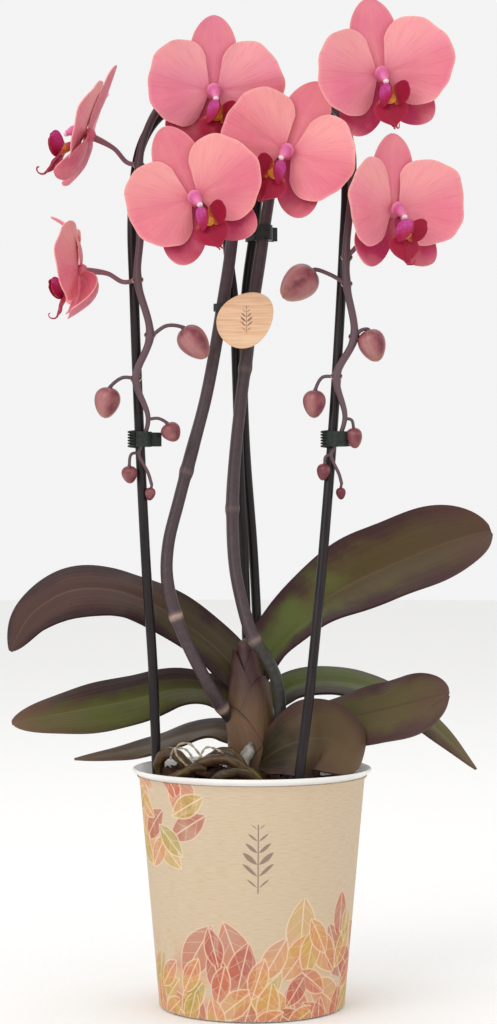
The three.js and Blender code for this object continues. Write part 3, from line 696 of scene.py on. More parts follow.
        # Loose washes of the same paint lie under the leaves.
        pools = r.add("TexNoise", {"Vector": mm, "Scale": 0.04, "Detail": 2.0})
        ebb = r.add("MapRange", (r.add("SeparateXYZ", (mm,)).outputs["Y"], 44.0, 26.0))
        drop = r.add("MapRange", (pools, 0.42, 0.5, 0.0, 0.5))
        soak = r.add("Math", (ebb, drop), operation="MULTIPLY")
        tint = r.add("ValToRGB", (wash,), stops=self.washes)
        color = r.add("Mix", {0: soak, UNDER: color, OVER: tint}, data_type="RGBA")
        drift = r.add("Math", (wash, 0.9, -0.45), operation="MULTIPLY_ADD")
        for cell, half, shift, strength in self.layers:
            mask, lines, luck = self.leaves(r, mm, cell, half, shift)
            hue = r.add("Math", (luck, drift), operation="ADD")
            paint = r.add("ValToRGB", (hue,), stops=self.paints)
            pool = r.add("MapRange", (wash, 0.3, 0.7, 0.5 * strength, strength))
            share = r.add("Math", (pool, mask), operation="MULTIPLY")
            color = r.add("Mix", {0: share, UNDER: color, OVER: paint}, data_type="RGBA")
            drawn = r.add("Math", (lines, mask), operation="MULTIPLY")
            faint = r.add("Math", (drawn, 0.55), operation="MULTIPLY")
            color = r.add("Mix", {0: faint, UNDER: color, OVER: linear(self.pale)}, data_type="RGBA")
        mark = sprig(r, mm, self.mark_at, self.mark_high)
        color = r.add("Mix", {0: mark, UNDER: color, OVER: linear(self.ink)}, data_type="RGBA")
        return r.done(color, pulp, 0.05)


@dataclass(frozen=True)
class TagVeneer:
    """A thin slice of pale wood: fine straight grain, a dull varnish, and a sprig printed on it."""

    name: str = "alder_veneer"
    light: str = "EBC4A0"
    dark: str = "DCAC84"
    ink: str = "5E463A"
    mark_at: Point = (-3.0, 366.0, 0.0)
    mark_high: float = 15.0

    def material(self) -> Material:
        """Build the material.

        Returns:
            The material.
        """
        r = Recipe(self.name, Roughness=0.45, Coat_Weight=0.1, Coat_Roughness=0.3)
        # Turned so that the tag's height is the second axis, in millimetres.
        turn = {"Rotation": (-math.pi / 2, 0.0, 0.0), "Scale": (1 / MM, 1 / MM, 1 / MM)}
        mm = r.add("Mapping", {"Vector": r.add("TexCoord").outputs["Object"], **turn})
        stretched = r.add("Mapping", {"Vector": mm, "Scale": (0.06, 1.1, 0.06)})
        grain = r.add("TexNoise", {"Vector": stretched, "Scale": 1.0, "Detail": 3.0})
        wood = r.add("ValToRGB", (grain,), stops=((0.35, self.dark), (0.6, self.light)))
        mark = sprig(r, mm, self.mark_at, self.mark_high)
        color = r.add("Mix", {0: mark, UNDER: wood, OVER: linear(self.ink)}, data_type="RGBA")
        return r.done(color, grain, 0.04)


# Petals are matt and lit from just below their skin, coral in the middle and rose at the band and the veins.
PETAL = Tissue(
    "petal_tissue", "E58790",
    (("rose", "E795AE"), ("blush", "D9627F"), ("pale", "EDA8A0"), ("shadow", "B42C58")),
    vein="CF4F74", veins=64, vein_share=0.26, mottle=14, mottle_share=0.3, mottle_color="E9998F",
    roughness=0.5, depth=0.22, glow=0.12,
)
# The lip is fleshier: deep crimson, dusted darker, with an orange callus and purple flanks.
LIP = Tissue(
    "lip_tissue", "A01A38", (("flank", "C4509C"), ("callus", "DB9430"), ("pale", "B83A54")),
    vein="78102C", veins=22, vein_share=0.35, mottle=1.2, mottle_share=0.5, mottle_color="8A1830",
    roughness=0.4, glow=0.08, specular=0.22,
)
# The column is waxy and bright, with a cap near white.
COLUMN = Tissue(
    "column_tissue", "D0669E", (("root", "E98CA6"), ("cap", "F0DFE8")),
    vein="B8447E", veins=8, vein_share=0.3, mottle=2, mottle_share=0.15, roughness=0.36, glow=0.15,
)
# Bud skin is tight and shines; its ridges are painted paler as a highlight, and its seams are painted dark,
# real seam lines deepened with painted shade.
BUD = Tissue(
    "bud_skin", "84404A",
    (("ridge", "AE7674"), ("seam_shade", "5E2832"), ("foot", "66333C"), ("tip", "B07A68"), ("young", "6A2A35")),
    vein="74343E", veins=30, vein_share=0.3, mottle=4, mottle_share=0.35, mottle_color="B07C74",
    roughness=0.28,
)
# A spike's skin is dark and satin, greener low down and rosier near the flowers, with pale rings.
STEM = Tissue(
    "spike_skin", "46373B",
    (("young", "644C52"), ("green", "2E322C"), ("node", "C0A094"), ("rosy", "9A5C6A")),
    vein="33282C", veins=10, vein_share=0.3, mottle=3, mottle_share=0.3, mottle_color="5A4C48",
    roughness=0.42,
)
# Old leaf sheaths are dull and blotched, brown below and plum above, with a dark dry edge.
CROWN_SKIN = Tissue(
    "sheath_skin", "5C4434", (("low", "70503A"), ("high", "47292E"), ("edge", "331C1F")),
    vein="3E2C26", veins=26, vein_share=0.35, mottle=9, mottle_share=0.45, mottle_color="5A4E30",
    roughness=0.42,
)
# Root skin is wet and brown with green showing through, silver where it is dry and young.
ROOT = Tissue(
    "root_skin", "503820", (("silver", "A9A8A0"), ("tip", "868C44"), ("old", "3A2618")),
    vein="7C6C30", veins=9, vein_share=0.45, mottle=4.2, mottle_share=0.8, mottle_color="24160F",
    roughness=0.3, depth=0.4,
)
# Dry rootlets are papery and grey.
DRY_ROOT = Rough("dry_root_skin", "7E6C58", "BFB29C", (1.2, 1.2, 2.5), 0.7, 0.3)
# Damp bark is nearly black in its cracks and does not shine.
BARK = Rough("bark_chip", "17100C", "54392A", (7.0, 4.0, 2.6), 0.85, 0.9, low=0.3, high=0.78, specular=0.15)
# The wire's plastic coat is smooth, with a narrow soft glint down its length.
WIRE = Rough("coated_wire", "191314", "261D1F", (3.0, 3.0, 40.0), 0.34, 0.05, specular=0.25)
# Moulded clips are dark green-black with a satin face.
CLIP = Rough("clip_polypropylene", "161D1A", "26302B", (2.0, 2.0, 2.0), 0.4, 0.05, specular=0.3)
# The pot cover is smooth white plastic that catches a broad soft light on its lip.
POT_WHITE = Rough("white_polypropylene", "E4E1DD", "F1EFEC", (30.0, 30.0, 30.0), 0.42, 0.05)
# The grow pot is milky and a little greyer.
GROW_POT = Rough("milky_polypropylene", "C9CDC6", "DCDFDA", (20.0, 20.0, 20.0), 0.3, 0.05)


# Pots, bark and roots.


def ring(radius: Number, turn: Array, z: Number) -> Array:
    """Points at a radius from the pot's axis, a turn round it and a height."""
    return stack(radius * np.cos(turn), radius * np.sin(turn), z)


@dataclass
class Pots:
    """The white pot cover, its printed sleeve, and the grow pot inside it."""

    foot_r: float = 48.6
    top_r: float = 59.4
    high: float = 127.0
    lip_r: float = 64.0
    lip_h: float = 5.0
    # Rings of the rolled lip, each a distance in from its edge and a depth below its top.
    lip_rings: tuple = ((1.9, 2.8), (0.4, 1.9), (0, 1.0), (0.2, 0.3), (0.8, 0), (1.7, 0.5), (2.7, 1.6))
    wall: float = 1.2
    floor: float = 2.0
    centre_r: float = 0.4
    grow_low: float = 2.4
    grow_high: float = 112.0
    grow_wall: float = 0.9
    play: float = 1.4  # room between the two pots
    card_wall: float = 0.5
    card_off: float = 0.62  # how far the card's middle stands off the cover

    def radius_at(self, z: Number) -> Number:
        """Outer radius of the cover at a height."""
        return mix(self.foot_r, self.top_r, z / (self.high - self.lip_h))

    def cover(self) -> None:
        """The cover: a tapered shell whose lip flares and rolls over."""
        flare = self.high - self.lip_h
        profile = [
            (self.centre_r, 0.0),
            (self.foot_r - 0.8, 0.0),
            (self.foot_r, 0.8),
            (self.top_r, flare),
            *((self.lip_r - inward, self.high - down) for inward, down in self.lip_rings),
            (self.top_r - self.wall, flare - 1),
            (self.radius_at(self.floor) - self.wall, self.floor),
            (self.centre_r, self.floor),
        ]
        dress(turned("pot_cover", profile, 128), POT_WHITE.material(), "pot_white", "decorative_pot")

    def sleeve(self) -> None:
        """The printed sleeve, a rolled sheet of card that meets itself at the back."""
        grid, flare = Grid(160, 60), self.high - self.lip_h
        turn = mix(math.pi / 2, -3 * math.pi / 2, 1 - grid.s)
        z = mix(0.7, flare + 1.0, grid.t)
        wide = self.radius_at(z) + self.card_off + 1.3 * np.maximum(0, z - flare)
        card = thick(grid.surface("sleeve", ring(wide, turn, z)), self.card_wall)
        dress(card, PrintedCard().material(), "sleeve_card", "printed_sleeve")

    def grow_pot(self) -> None:
        """The thin milky pot that holds the bark."""
        off, low, high = self.wall + self.play, self.grow_low, self.grow_high
        floor = low + self.grow_wall
        profile = [
            (self.centre_r, low),
            (self.radius_at(low) - off, low),
            (self.radius_at(high - 3) - off, high - 3),
            (self.radius_at(high) - off + 0.8, high),
            (self.radius_at(high) - off - self.grow_wall, high),
            (self.radius_at(floor) - off - self.grow_wall, floor),
            (self.centre_r, floor),
        ]
        dress(turned("grow_pot_shell", profile, 72), GROW_POT.material(), "grow_pot_clear", "grow_pot")


@dataclass
class Filling:
    """Bark in the grow pot: a solid bed, and chips that lie loose on it."""

    top: float = 117.0
    chips: int = 120
    seed: int = 7
    spread: float = 52.0  # how far from the middle the chips lie
    rim: float = 47.0  # chips beyond this are smaller
    spiral: float = 2.39996  # turn from one chip to the next, in radians
    # A mound under the knot of roots: its middle, how wide it is that way, and its height.
    mound_at: tuple[float, float] = (-27.0, -14.0)
    mound_wide: tuple[float, float] = (19.0, 17.0)
    mound_high: float = 10.5

    def height_at(self, x: Number, y: Number) -> Number:
        """Height of the bed under the chips.

        Args:
            x: places to the right of the pot's axis.
            y: places behind it.

        Returns:
            Heights in millimetres.
        """
        across, deep = self.mound_wide
        mound = hump(x, self.mound_at[0], across) * hump(y, self.mound_at[1], deep)
        waves = 1.6 * np.sin(x / 7.5 + 0.6) * np.cos(y / 6.5) + 1.2 * np.sin((x + y) / 4.6)
        return self.top + self.mound_high * mound + waves

    def bed(self) -> Object:
        """The solid bed, which runs from the floor up the wall and in over an uneven top.

        Returns:
            The bed.
        """
        grid = Grid(96, 48)
        wide = np.interp(grid.t, (0, 0.1, 0.2, 0.26, 1), (0.2, 45, 54.4, 53, 0.2))
        wall = np.interp(grid.t, (0, 0.1, 0.2, 0.26), (4, 4, 110, self.top - 2))
        x, y, _ = ring(wide, grid.turn, 0).T
        top = self.height_at(x, y) - 1.5 + 0.8 * np.sin(x * 1.3) * np.sin(y * 1.1)
        return closed(grid.surface("bark_bed", stack(x, y, np.where(grid.t > 0.26, top, wall))))

    def chip(self) -> Object:
        """One chip: a block that is rounded a little and roughened.

        Returns:
            The chip, 2 mm wide.
        """
        bpy.ops.object.select_all(action="DESELECT")
        bpy.ops.mesh.primitive_cube_add(size=2 * MM)
        obj = named("chip")
        bpy.ops.object.mode_set(mode="EDIT")
        bpy.ops.mesh.select_all(action="SELECT")
        bpy.ops.mesh.subdivide(number_cuts=2)
        bpy.ops.object.mode_set(mode="OBJECT")
        p = vertices(obj) / MM
        rough = 0.2 * np.sin(p[:, [1, 2, 0]] * 2.9 + 1) * np.cos(p[:, [2, 0, 1]] * 3.7)
        far = np.maximum(1e-6, np.linalg.norm(p, axis=1, keepdims=True))
        move(obj, p * mix(1.0, 1.25 / far, 0.35) + rough)
        return obj

    def build(self) -> None:
        """Lay copies of the chip over the bed in a spiral, each of its own size and lean."""
        rng = np.random.default_rng(self.seed)
        first = self.chip()
        pieces = [self.bed()]
        for i in range(self.chips):
            far = self.spread * math.sqrt((i + 0.5) / self.chips)
            turn = i * self.spiral + rng.uniform(-0.3, 0.3)
            long, wide, thin = rng.uniform(4.5, 8.5), rng.uniform(3.2, 5), rng.uniform(1.4, 2.6)
            if far > self.rim:
                long, wide = long * 0.6, wide * 0.75
            lean = rng.uniform(-0.45, 0.45, 2)
            x, y = far * math.cos(turn), far * math.sin(turn)
            z = self.height_at(x, y) + rng.uniform(0, 1.4)
            copy = first.copy()
            copy.data = first.data.copy()
            bpy.context.collection.objects.link(copy)
            copy.scale = (long, wide, thin)
            copy.rotation_euler = (*lean, rng.uniform(0, math.pi))
            copy.location = (x * MM, y * MM, z * MM)
            only(copy)
            bpy.ops.object.transform_apply(location=True, rotation=True, scale=True)
            pieces.append(copy)
        bpy.data.objects.remove(first)
        dress(joined("bark_chips", pieces), BARK.material(), "bark_chips", "bark", crease=28)


class RootKind(Enum):
    """How a root looks."""

    SILVER = "silver"
    GREEN_TIPPED = "green-tipped"
    OLD = "old"
    BROWN = "brown"


@dataclass
class Roots:
    """A silver root tip, an old looping knot, a root that crosses the bark, and dry curly rootlets."""

    # A live root's kind, its radius at the start and at the end, and its course.
    live: tuple[tuple[RootKind, float, float, Points], ...] = (
        (RootKind.SILVER, 3.5, 3.1, ((0, -9, 141), (-3, -13, 134), (-6.5, -15, 127), (-8, -15, 114))),
        (RootKind.GREEN_TIPPED, 2.6, 3.2, (
            (6, -24, 112), (2, -31, 124), (-7, -30, 131), (-17, -27, 134), (-28, -25, 130), (-34, -24, 116),
        )),
        (RootKind.BROWN, 3.0, 3.0, (
            (-31, -22, 114), (-33, -24, 128), (-39, -21, 135),
            (-47, -14, 135), (-49.5, -9, 127), (-47, -8, 112),
        )),
        (RootKind.OLD, 3.0, 2.6, (
            (-46, -16, 112), (-46, -25, 121), (-39, -31, 125), (-31, -30, 129), (-24, -27, 128),
        )),
        (RootKind.OLD, 3.4, 3.0, (
            (-26, -12, 112), (-24, -15, 130), (-16, -15, 136), (-8, -18, 133), (-2, -21, 120),
        )),
        (RootKind.OLD, 2.8, 2.4, (
            (-20, -36, 112), (-19, -39, 124), (-11, -41, 128), (-1, -40, 126), (4, -36, 114),
        )),
    )
    dry: tuple[Points, ...] = (
        (
            (-33, -26, 129), (-40, -27, 137), (-39, -27, 141),
            (-33, -27, 142), (-28, -27, 137), (-25, -26, 133),
        ),
        ((-28, -27, 134), (-24, -27, 140), (-17, -26, 138), (-12, -24, 133)),
        ((-43, -22, 133), (-41, -25, 139), (-35, -27, 139), (-30, -28, 133)),
    )

    def build(self) -> None:
        """Model the live roots, lumpy and narrow at their start, and the dry ones."""
        grid, pieces = Grid(18, 46), []
        t, turn = grid.t, grid.turn
        lumps = 0.28 * np.sin(t * 23 + turn) + 0.16 * np.sin(t * 51 + 2 * turn)
        for i, (kind, start, end, points) in enumerate(self.live):
            wide = (mix(start, end, t) + lumps) * mix(0.35, 1, smooth(t / 0.22))
            tones = {
                "silver": (1 - 0.5 * t) * (kind is RootKind.SILVER),
                "tip": (1 - smooth(t / 0.4)) * (kind is RootKind.GREEN_TIPPED),
                "old": 0.7 * (kind is RootKind.OLD),
            }
            pieces.append(grid.limb(f"root_{i}", Route(points), wide, **tones))
        dress(joined("live_roots", pieces), ROOT.material(), "root_skin", "roots")
        grid = Grid(8, 40)
        wide = 0.55 + 0.15 * np.sin(grid.t * 40)
        thin = [grid.limb(f"dry_{i}", Route(points), wide) for i, points in enumerate(self.dry)]
        dress(joined("dry_rootlets", thin), DRY_ROOT.material(), "root_skin")


# Wire hoops and what is clipped to them.


@dataclass
class Hoops:
    """Two coated wires, each bent over into a hoop whose far leg goes down behind the stems."""

    radius: float = 2.6
    left: Points = (
        (-46, -8, 62), (-50.5, -8, 123), (-52.7, -9, 180), (-56.5, -10, 238), (-60, -11, 310),
        (-62.5, -11, 376), (-63.5, -10, 425), (-59, -6, 459), (-48, 2, 477), (-33, 8, 483),
        (-20, 13, 470), (-15.5, 15, 440), (-13, 15, 405), (-9.8, 16, 378), (-8.4, 17, 340),
        (-6.6, 19, 285), (-4.2, 21, 237), (-2.6, 23, 180), (-2, 24, 120), (-2, 24, 70),
    )
    right: Points = (
        (20, -38, 62), (24.5, -39, 126), (29.5, -36, 165), (36, -27, 228), (41.5, -18, 291),
        (45, -13, 340), (48.5, -10, 402), (50, -7, 440), (47.5, -2, 464), (40, 3, 478),
        (29, 7, 483), (15, 12, 474), (6, 15, 450), (1, 17, 415), (-3.2, 20, 384), (-5, 22.5, 350),
        (-3.6, 24.5, 300), (0.8, 26, 240), (3.6, 27.5, 180), (4.4, 28, 120), (4.4, 28, 70),
    )

    def build(self) -> None:
        """Model both wires."""
        material = WIRE.material()
        for name, points in (("hoop_left", self.left), ("hoop_right", self.right)):
            wire = Grid(20, 220).limb(f"{name}_wire", Route(points), self.radius)
            dress(wire, material, "hoop_wire", name)


@dataclass
class Fasteners:
    """Spring clips with their coils, and the veneer tag with its holder."""

    tag_at: Point = (-3.2, -7.3, 366.2)
    tag_lean: float = 42.0  # degrees
    tag_long: float = 16.4  # half its length
    tag_wide: float = 13.6  # half its width
    tag_thick: float = 1.6
    tag_edge: float = 0.3
    coils: tuple[tuple[str, Point], ...] = (
        ("clip_coil_left", (-63.5, -17.6, 297.5)),
        ("clip_coil_right", (38.4, -19.4, 297.5)),
    )
    coil_turns: int = 6
    coil_r: float = 2.0
    coil_high: float = 9.0
    coil_wire: float = 0.42

    def coil(self, name: str, at: Point, material: Material) -> None:
        """A small coil spring of fine wire.

        Args:
            name: the piece's name.
            at: centre of its lower end.
            material: its material.
        """
        steps = self.coil_turns * 12
        share = np.linspace(0, 1, steps + 1)
        line = np.array(at) + ring(self.coil_r, share * self.coil_turns * FULL, self.coil_high * share)
        made = Grid(8, steps * 2).limb(name, Route(line, 400), self.coil_wire)
        dress(made, material, "clip_plastic")

    def tag(self) -> None:
        """The tag: an egg-shaped plate that leans over, with softened edges."""
        bpy.ops.object.select_all(action="DESELECT")
        bpy.ops.mesh.primitive_circle_add(vertices=120, radius=MM, fill_type="NGON")
        obj = named("veneer_tag")
        x, y, _ = (vertices(obj) / MM).T
        a, b = self.tag_long * x, self.tag_wide * y * (1 - 0.14 * x)
        c, s = math.cos(math.radians(self.tag_lean)), math.sin(math.radians(self.tag_lean))
        move(obj, np.array(self.tag_at) + stack(a * c - b * s, 0, a * s + b * c))
        thick(obj, self.tag_thick)
        modified(obj, "BEVEL", width=self.tag_edge * MM, segments=3, limit_method="ANGLE")
        dress(obj, TagVeneer().material(), "tag_veneer", "name_tag")

    def build(self) -> None:
        """Make the tag and coils, and finish the clips and the holder."""
        self.tag()
        material = CLIP.material()
        for name, at in self.coils:
            self.coil(name, at, material)
        for name in ("clip_left", "clip_right", "clip_top", "tag_holder"):
            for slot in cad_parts[name].material_slots:
                slot.material = material


# The plant.


@dataclass
class Crown:
    """The short stem, wrapped in the folded foot of leaf over leaf."""

    low: float = 88.0
    high: float = 196.0
    # Lowest and highest point, the way it faces in degrees, and how far it stands off the core.
    wraps: tuple[tuple[float, float, float, float], ...] = (
        (150, 196, -20, 0.7), (140, 190, 196, 1.2), (122, 176, -38, 1.6),
        (108, 160, 212, 2.0), (96, 143, -30, 2.4), (92, 131, 222, 2.8),
    )
    spread: float = 3.9  # how far round a sheath reaches at its foot, in radians
    wall: float = 0.9
    foot_r: float = 7.6
    waist_r: float = 10.6
    flat: float = 0.8  # depth from front to back as a share of the width
    # Where the axis stands at the lowest and at the highest point.
    across: tuple[float, float] = (3.5, -3.5)
    deep: tuple[float, float] = (1.0, 3.0)

    def middle(self, z: Array) -> tuple[Array, Array]:
        """Where the core's axis stands at heights z."""
        up = (z - self.low) / (self.high - self.low)
        return mix(*self.across, up), mix(*self.deep, up)

    def at(self, z: Array, turn: Array, off: Number) -> Array:
        """Points round the core.

        Args:
            z: heights in millimetres.
            turn: turns round it, in radians.
            off: how far they stand off it.

        Returns:
            A point for each height.
        """
        body = mix(self.foot_r, self.waist_r, smooth((z - 100) / 25)) * (1 - smooth((z - 150) / 60) * 0.7)
        x, y = self.middle(z)
        wide = body + off
        return stack(x + np.cos(turn) * wide, y + np.sin(turn) * wide * self.flat, z)

    def skin(self, name: str, grid: Grid, z: Array, points: Array, edge: Number = 0.0) -> Object:
        """A sheet coloured by its height z, with its edge darkened."""
        return grid.surface(name, points, low=smooth((174 - z) / 24), high=smooth((z - 160) / 22), edge=edge)

    def build(self) -> None:
        """Model the core, drawn in at its ends, and the sheaths that wrap it, lowest at their sides."""
        grid = Grid(48, 40)
        z = mix(self.low, self.high, grid.t)
        points = mix(self.at(z, grid.turn, 0.0), stack(*self.middle(z), z), 0.99 * grid.ends[:, None])
        pieces = [closed(self.skin("crown_core", grid, z, points))]
        grid = Grid(40, 30)
        v, t = grid.v, grid.t
        edge = 0.8 * smooth((np.maximum(np.abs(v), t) - 0.93) / 0.07)
        for low, high, facing, off in self.wraps:
            z = mix(low, high, t)
            turn = math.radians(facing) + (grid.s - 0.5) * self.spread * (1 - 0.55 * t**2.2)
            points = self.at(z - 7 * t * v**2, turn, off + 0.7 * t * t)
            pieces.append(thick(self.skin("sheath", grid, z, points, edge), self.wall))
        dress(joined("crown_sheaths", pieces), CROWN_SKIN.material(), "crown_sheath", "crown", crease=60)


@dataclass
class Leaf:
    """One leaf. It follows its midrib, and facing says where its upper side looks at root, middle and tip."""

    name: str
    rib: Points
    facing: Points
    skin: LeafSkin
    gutter: tuple[float, float]  # how deep it is folded at its root and beyond its middle
    half_width: float
    root: float  # width at its root, as a share of its widest
    widest: float  # share of its length where it is widest
    tip: float  # how late it narrows
    point: float = 0.5  # 0.5 is a round tip and 1 a sharp one
    notch: tuple[float, float] = (0.0, 0.0)  # place across, from -1 to 1, and depth of a nick in the tip
    thickness: float = 1.5

    def share(self, t: Array) -> Array:
        """Half width along the leaf, as a share of its widest.

        Args:
            t: shares along it, from 0 to 1.

        Returns:
            Shares from 0 to 1.
        """
        grown = mix(self.root, 1, smooth(t / self.widest)) * mix(0.6, 1, smooth(t / 0.1))
        left = np.maximum(0, (t - self.widest) / (1 - self.widest))
        return grown * np.maximum(0, 1 - left**self.tip) ** self.point

    def build(self) -> None:
        """Model the blade over its midrib, folded along it and a little wavy at its margins."""
        grid, route = Grid(36, 80), Route(self.rib)
        # Rows lie closer together towards the tip, where the outline turns fastest.
        v, t = grid.v, 1 - (1 - grid.t) ** 1.9
        half = self.half_width * self.share(np.minimum(t, 0.9985))
        t = t * (1 - self.notch[1] * hump(v, self.notch[0], 0.16) * smooth((t - 0.8) / 0.2))
        ahead = unit(route.read(route.heading, t))
        look = stack(*(np.interp(t, (0, 0.5, 1), axis) for axis in zip(*self.facing)))
        look = unit(look - ahead * np.sum(look * ahead, axis=1, keepdims=True))
        across = np.cross(ahead, look)
        wave = 0.035 * np.sin(t * 19 + 2 * v) * v * v * smooth(t * 3)
        fold = mix(*self.gutter, smooth(t * 1.6)) * np.sqrt(v * v + 0.006)
        rise = half * (fold - 0.16 * v * v + wave)
        points = route.read(route.points, t) + across * (v * half)[:, None] + look * rise[:, None]
        blade = thick(grid.surface(f"{self.name}_blade", points), self.thickness)
        dress(blade, self.skin.material(), "leaf_skin", self.name, crease=50)


LEAVES = [
    # Dark plum, nearly black along its margins, so that the blooms stand out before it.
    Leaf(
        "leaf_upper_left",
        ((-5, 5, 170), (-12, 8, 182), (-33, 11, 200), (-55, 11, 213.5),
         (-77, 8, 221), (-99, 4, 220), (-118, 0, 208), (-129, -3, 189)),
        ((-0.3, -0.7, 0.65), (-0.1, -0.62, 0.78), (-0.6, -0.7, 0.35)),
        LeafSkin("leaf_plum", "4A332D", "311F22", "45302D", "453C26", "6A5248", 0.4, 0.7),
        gutter=(0.5, 0.12), half_width=19, root=0.62, widest=0.7, tip=1.9, point=0.7,
    ),
    # Olive along its middle between plum margins, greener at its root.
    Leaf(
        "leaf_upper_right",
        ((3, 8, 170), (9, 12, 186), (22, 17, 200), (36, 21, 212),
         (56, 25, 224), (83, 28, 236), (108, 29, 246), (131, 30, 253)),
        ((-0.5, -0.62, 0.6), (-0.3, -0.7, 0.65), (-0.2, -0.8, 0.55)),
        LeafSkin("leaf_olive", "4E4024", "3A2226", "52392F", "555E2C", "60503A", 0.36, 0.35),
        gutter=(0.55, 0.4), half_width=28, root=0.48, widest=0.6, tip=2.6, notch=(0.5, 0.02),
    ),
    # A green band off its middle that turns brown to the tip.
    Leaf(
        "leaf_middle_left",
        ((-6, 4, 156), (-20, 9, 165), (-38, 13, 167), (-65, 14, 161), (-92, 11, 156), (-129, 4, 150)),
        ((-0.1, -0.6, 0.8), (0, -0.66, 0.75), (0.1, -0.66, 0.75)),
        LeafSkin("leaf_green_brown", "4E5224", "301E1F", "6E5142", "443F22", "66603C", 0.3, 0.3, -0.16),
        gutter=(0.4, 0.18), half_width=18.5, root=0.5, widest=0.52, tip=1.9, point=0.6, notch=(-0.5, 0.03),
    ),
    # Dull brown, the oldest leaf.
    Leaf(
        "leaf_lower_left",
        ((-5, 6, 139), (-17, 14, 145), (-34, 23, 142), (-56, 30, 135), (-78, 36, 130), (-98, 39, 127)),
        ((-0.1, -0.5, 0.85), (0, -0.4, 0.92), (0, -0.5, 0.87)),
        LeafSkin("leaf_dull", "5C4A34", "3A2624", "6E5644", "503F2A", "6C5C40", 0.35, 0.4, -0.14),
        gutter=(0.35, 0.15), half_width=12.5, root=0.65, widest=0.45, tip=1.25, point=0.95,
    ),
    # The brightest green, since it lies flat to the light from above.
    Leaf(
        "leaf_back_right",
        ((6, 12, 155), (19, 24, 166), (38, 33, 169.5), (60, 40, 167),
         (82, 46, 158), (104, 50, 141), (125, 53, 120)),
        ((0, -0.5, 0.85), (0.05, -0.4, 0.92), (0.5, -0.5, 0.7)),
        LeafSkin("leaf_bright", "50521E", "34241C", "6A5038", "505A1E", "606A36", 0.34, 0.3, -0.12),
        gutter=(0.35, 0.15), half_width=18, root=0.5, widest=0.45, tip=1.6, point=0.9,
    ),
    # Brown olive that runs to plum at its broad tip.
    Leaf(
        "leaf_lower_right",
        ((9, 3, 145), (20, 4, 147), (34, 4, 149.5), (51, 0, 153), (74, -9, 159), (104, -19, 168)),
        ((-0.1, -0.6, 0.8), (-0.1, -0.68, 0.72), (-0.15, -0.75, 0.6)),
        LeafSkin("leaf_olive_plum", "5A5034", "452B2C", "5C403A", "4C4A26", "4A3630", 0.4, 0.45),
        gutter=(0.35, 0.08), half_width=21, root=0.4, widest=0.62, tip=2.8, notch=(0.45, 0.07),
    ),
    # In the shade of the others: dark at its root and paler where it bends down over the lip.
    Leaf(
        "leaf_front_right",
        ((5, -9, 130), (16, -17, 138.5), (30, -23, 144), (41, -26, 143.5), (49, -28, 137), (54.5, -27, 128)),
        ((0, -0.7, 0.7), (0.15, -0.95, 0.3), (0.8, -0.6, 0.1)),
        LeafSkin("leaf_shaded", "54432D", "46302A", "66503C", "2C2618", "5E4C36", 0.5, 0.4),
        gutter=(0.3, 0.1), half_width=21.5, root=0.5, widest=0.5, tip=2.6,
    ),
]


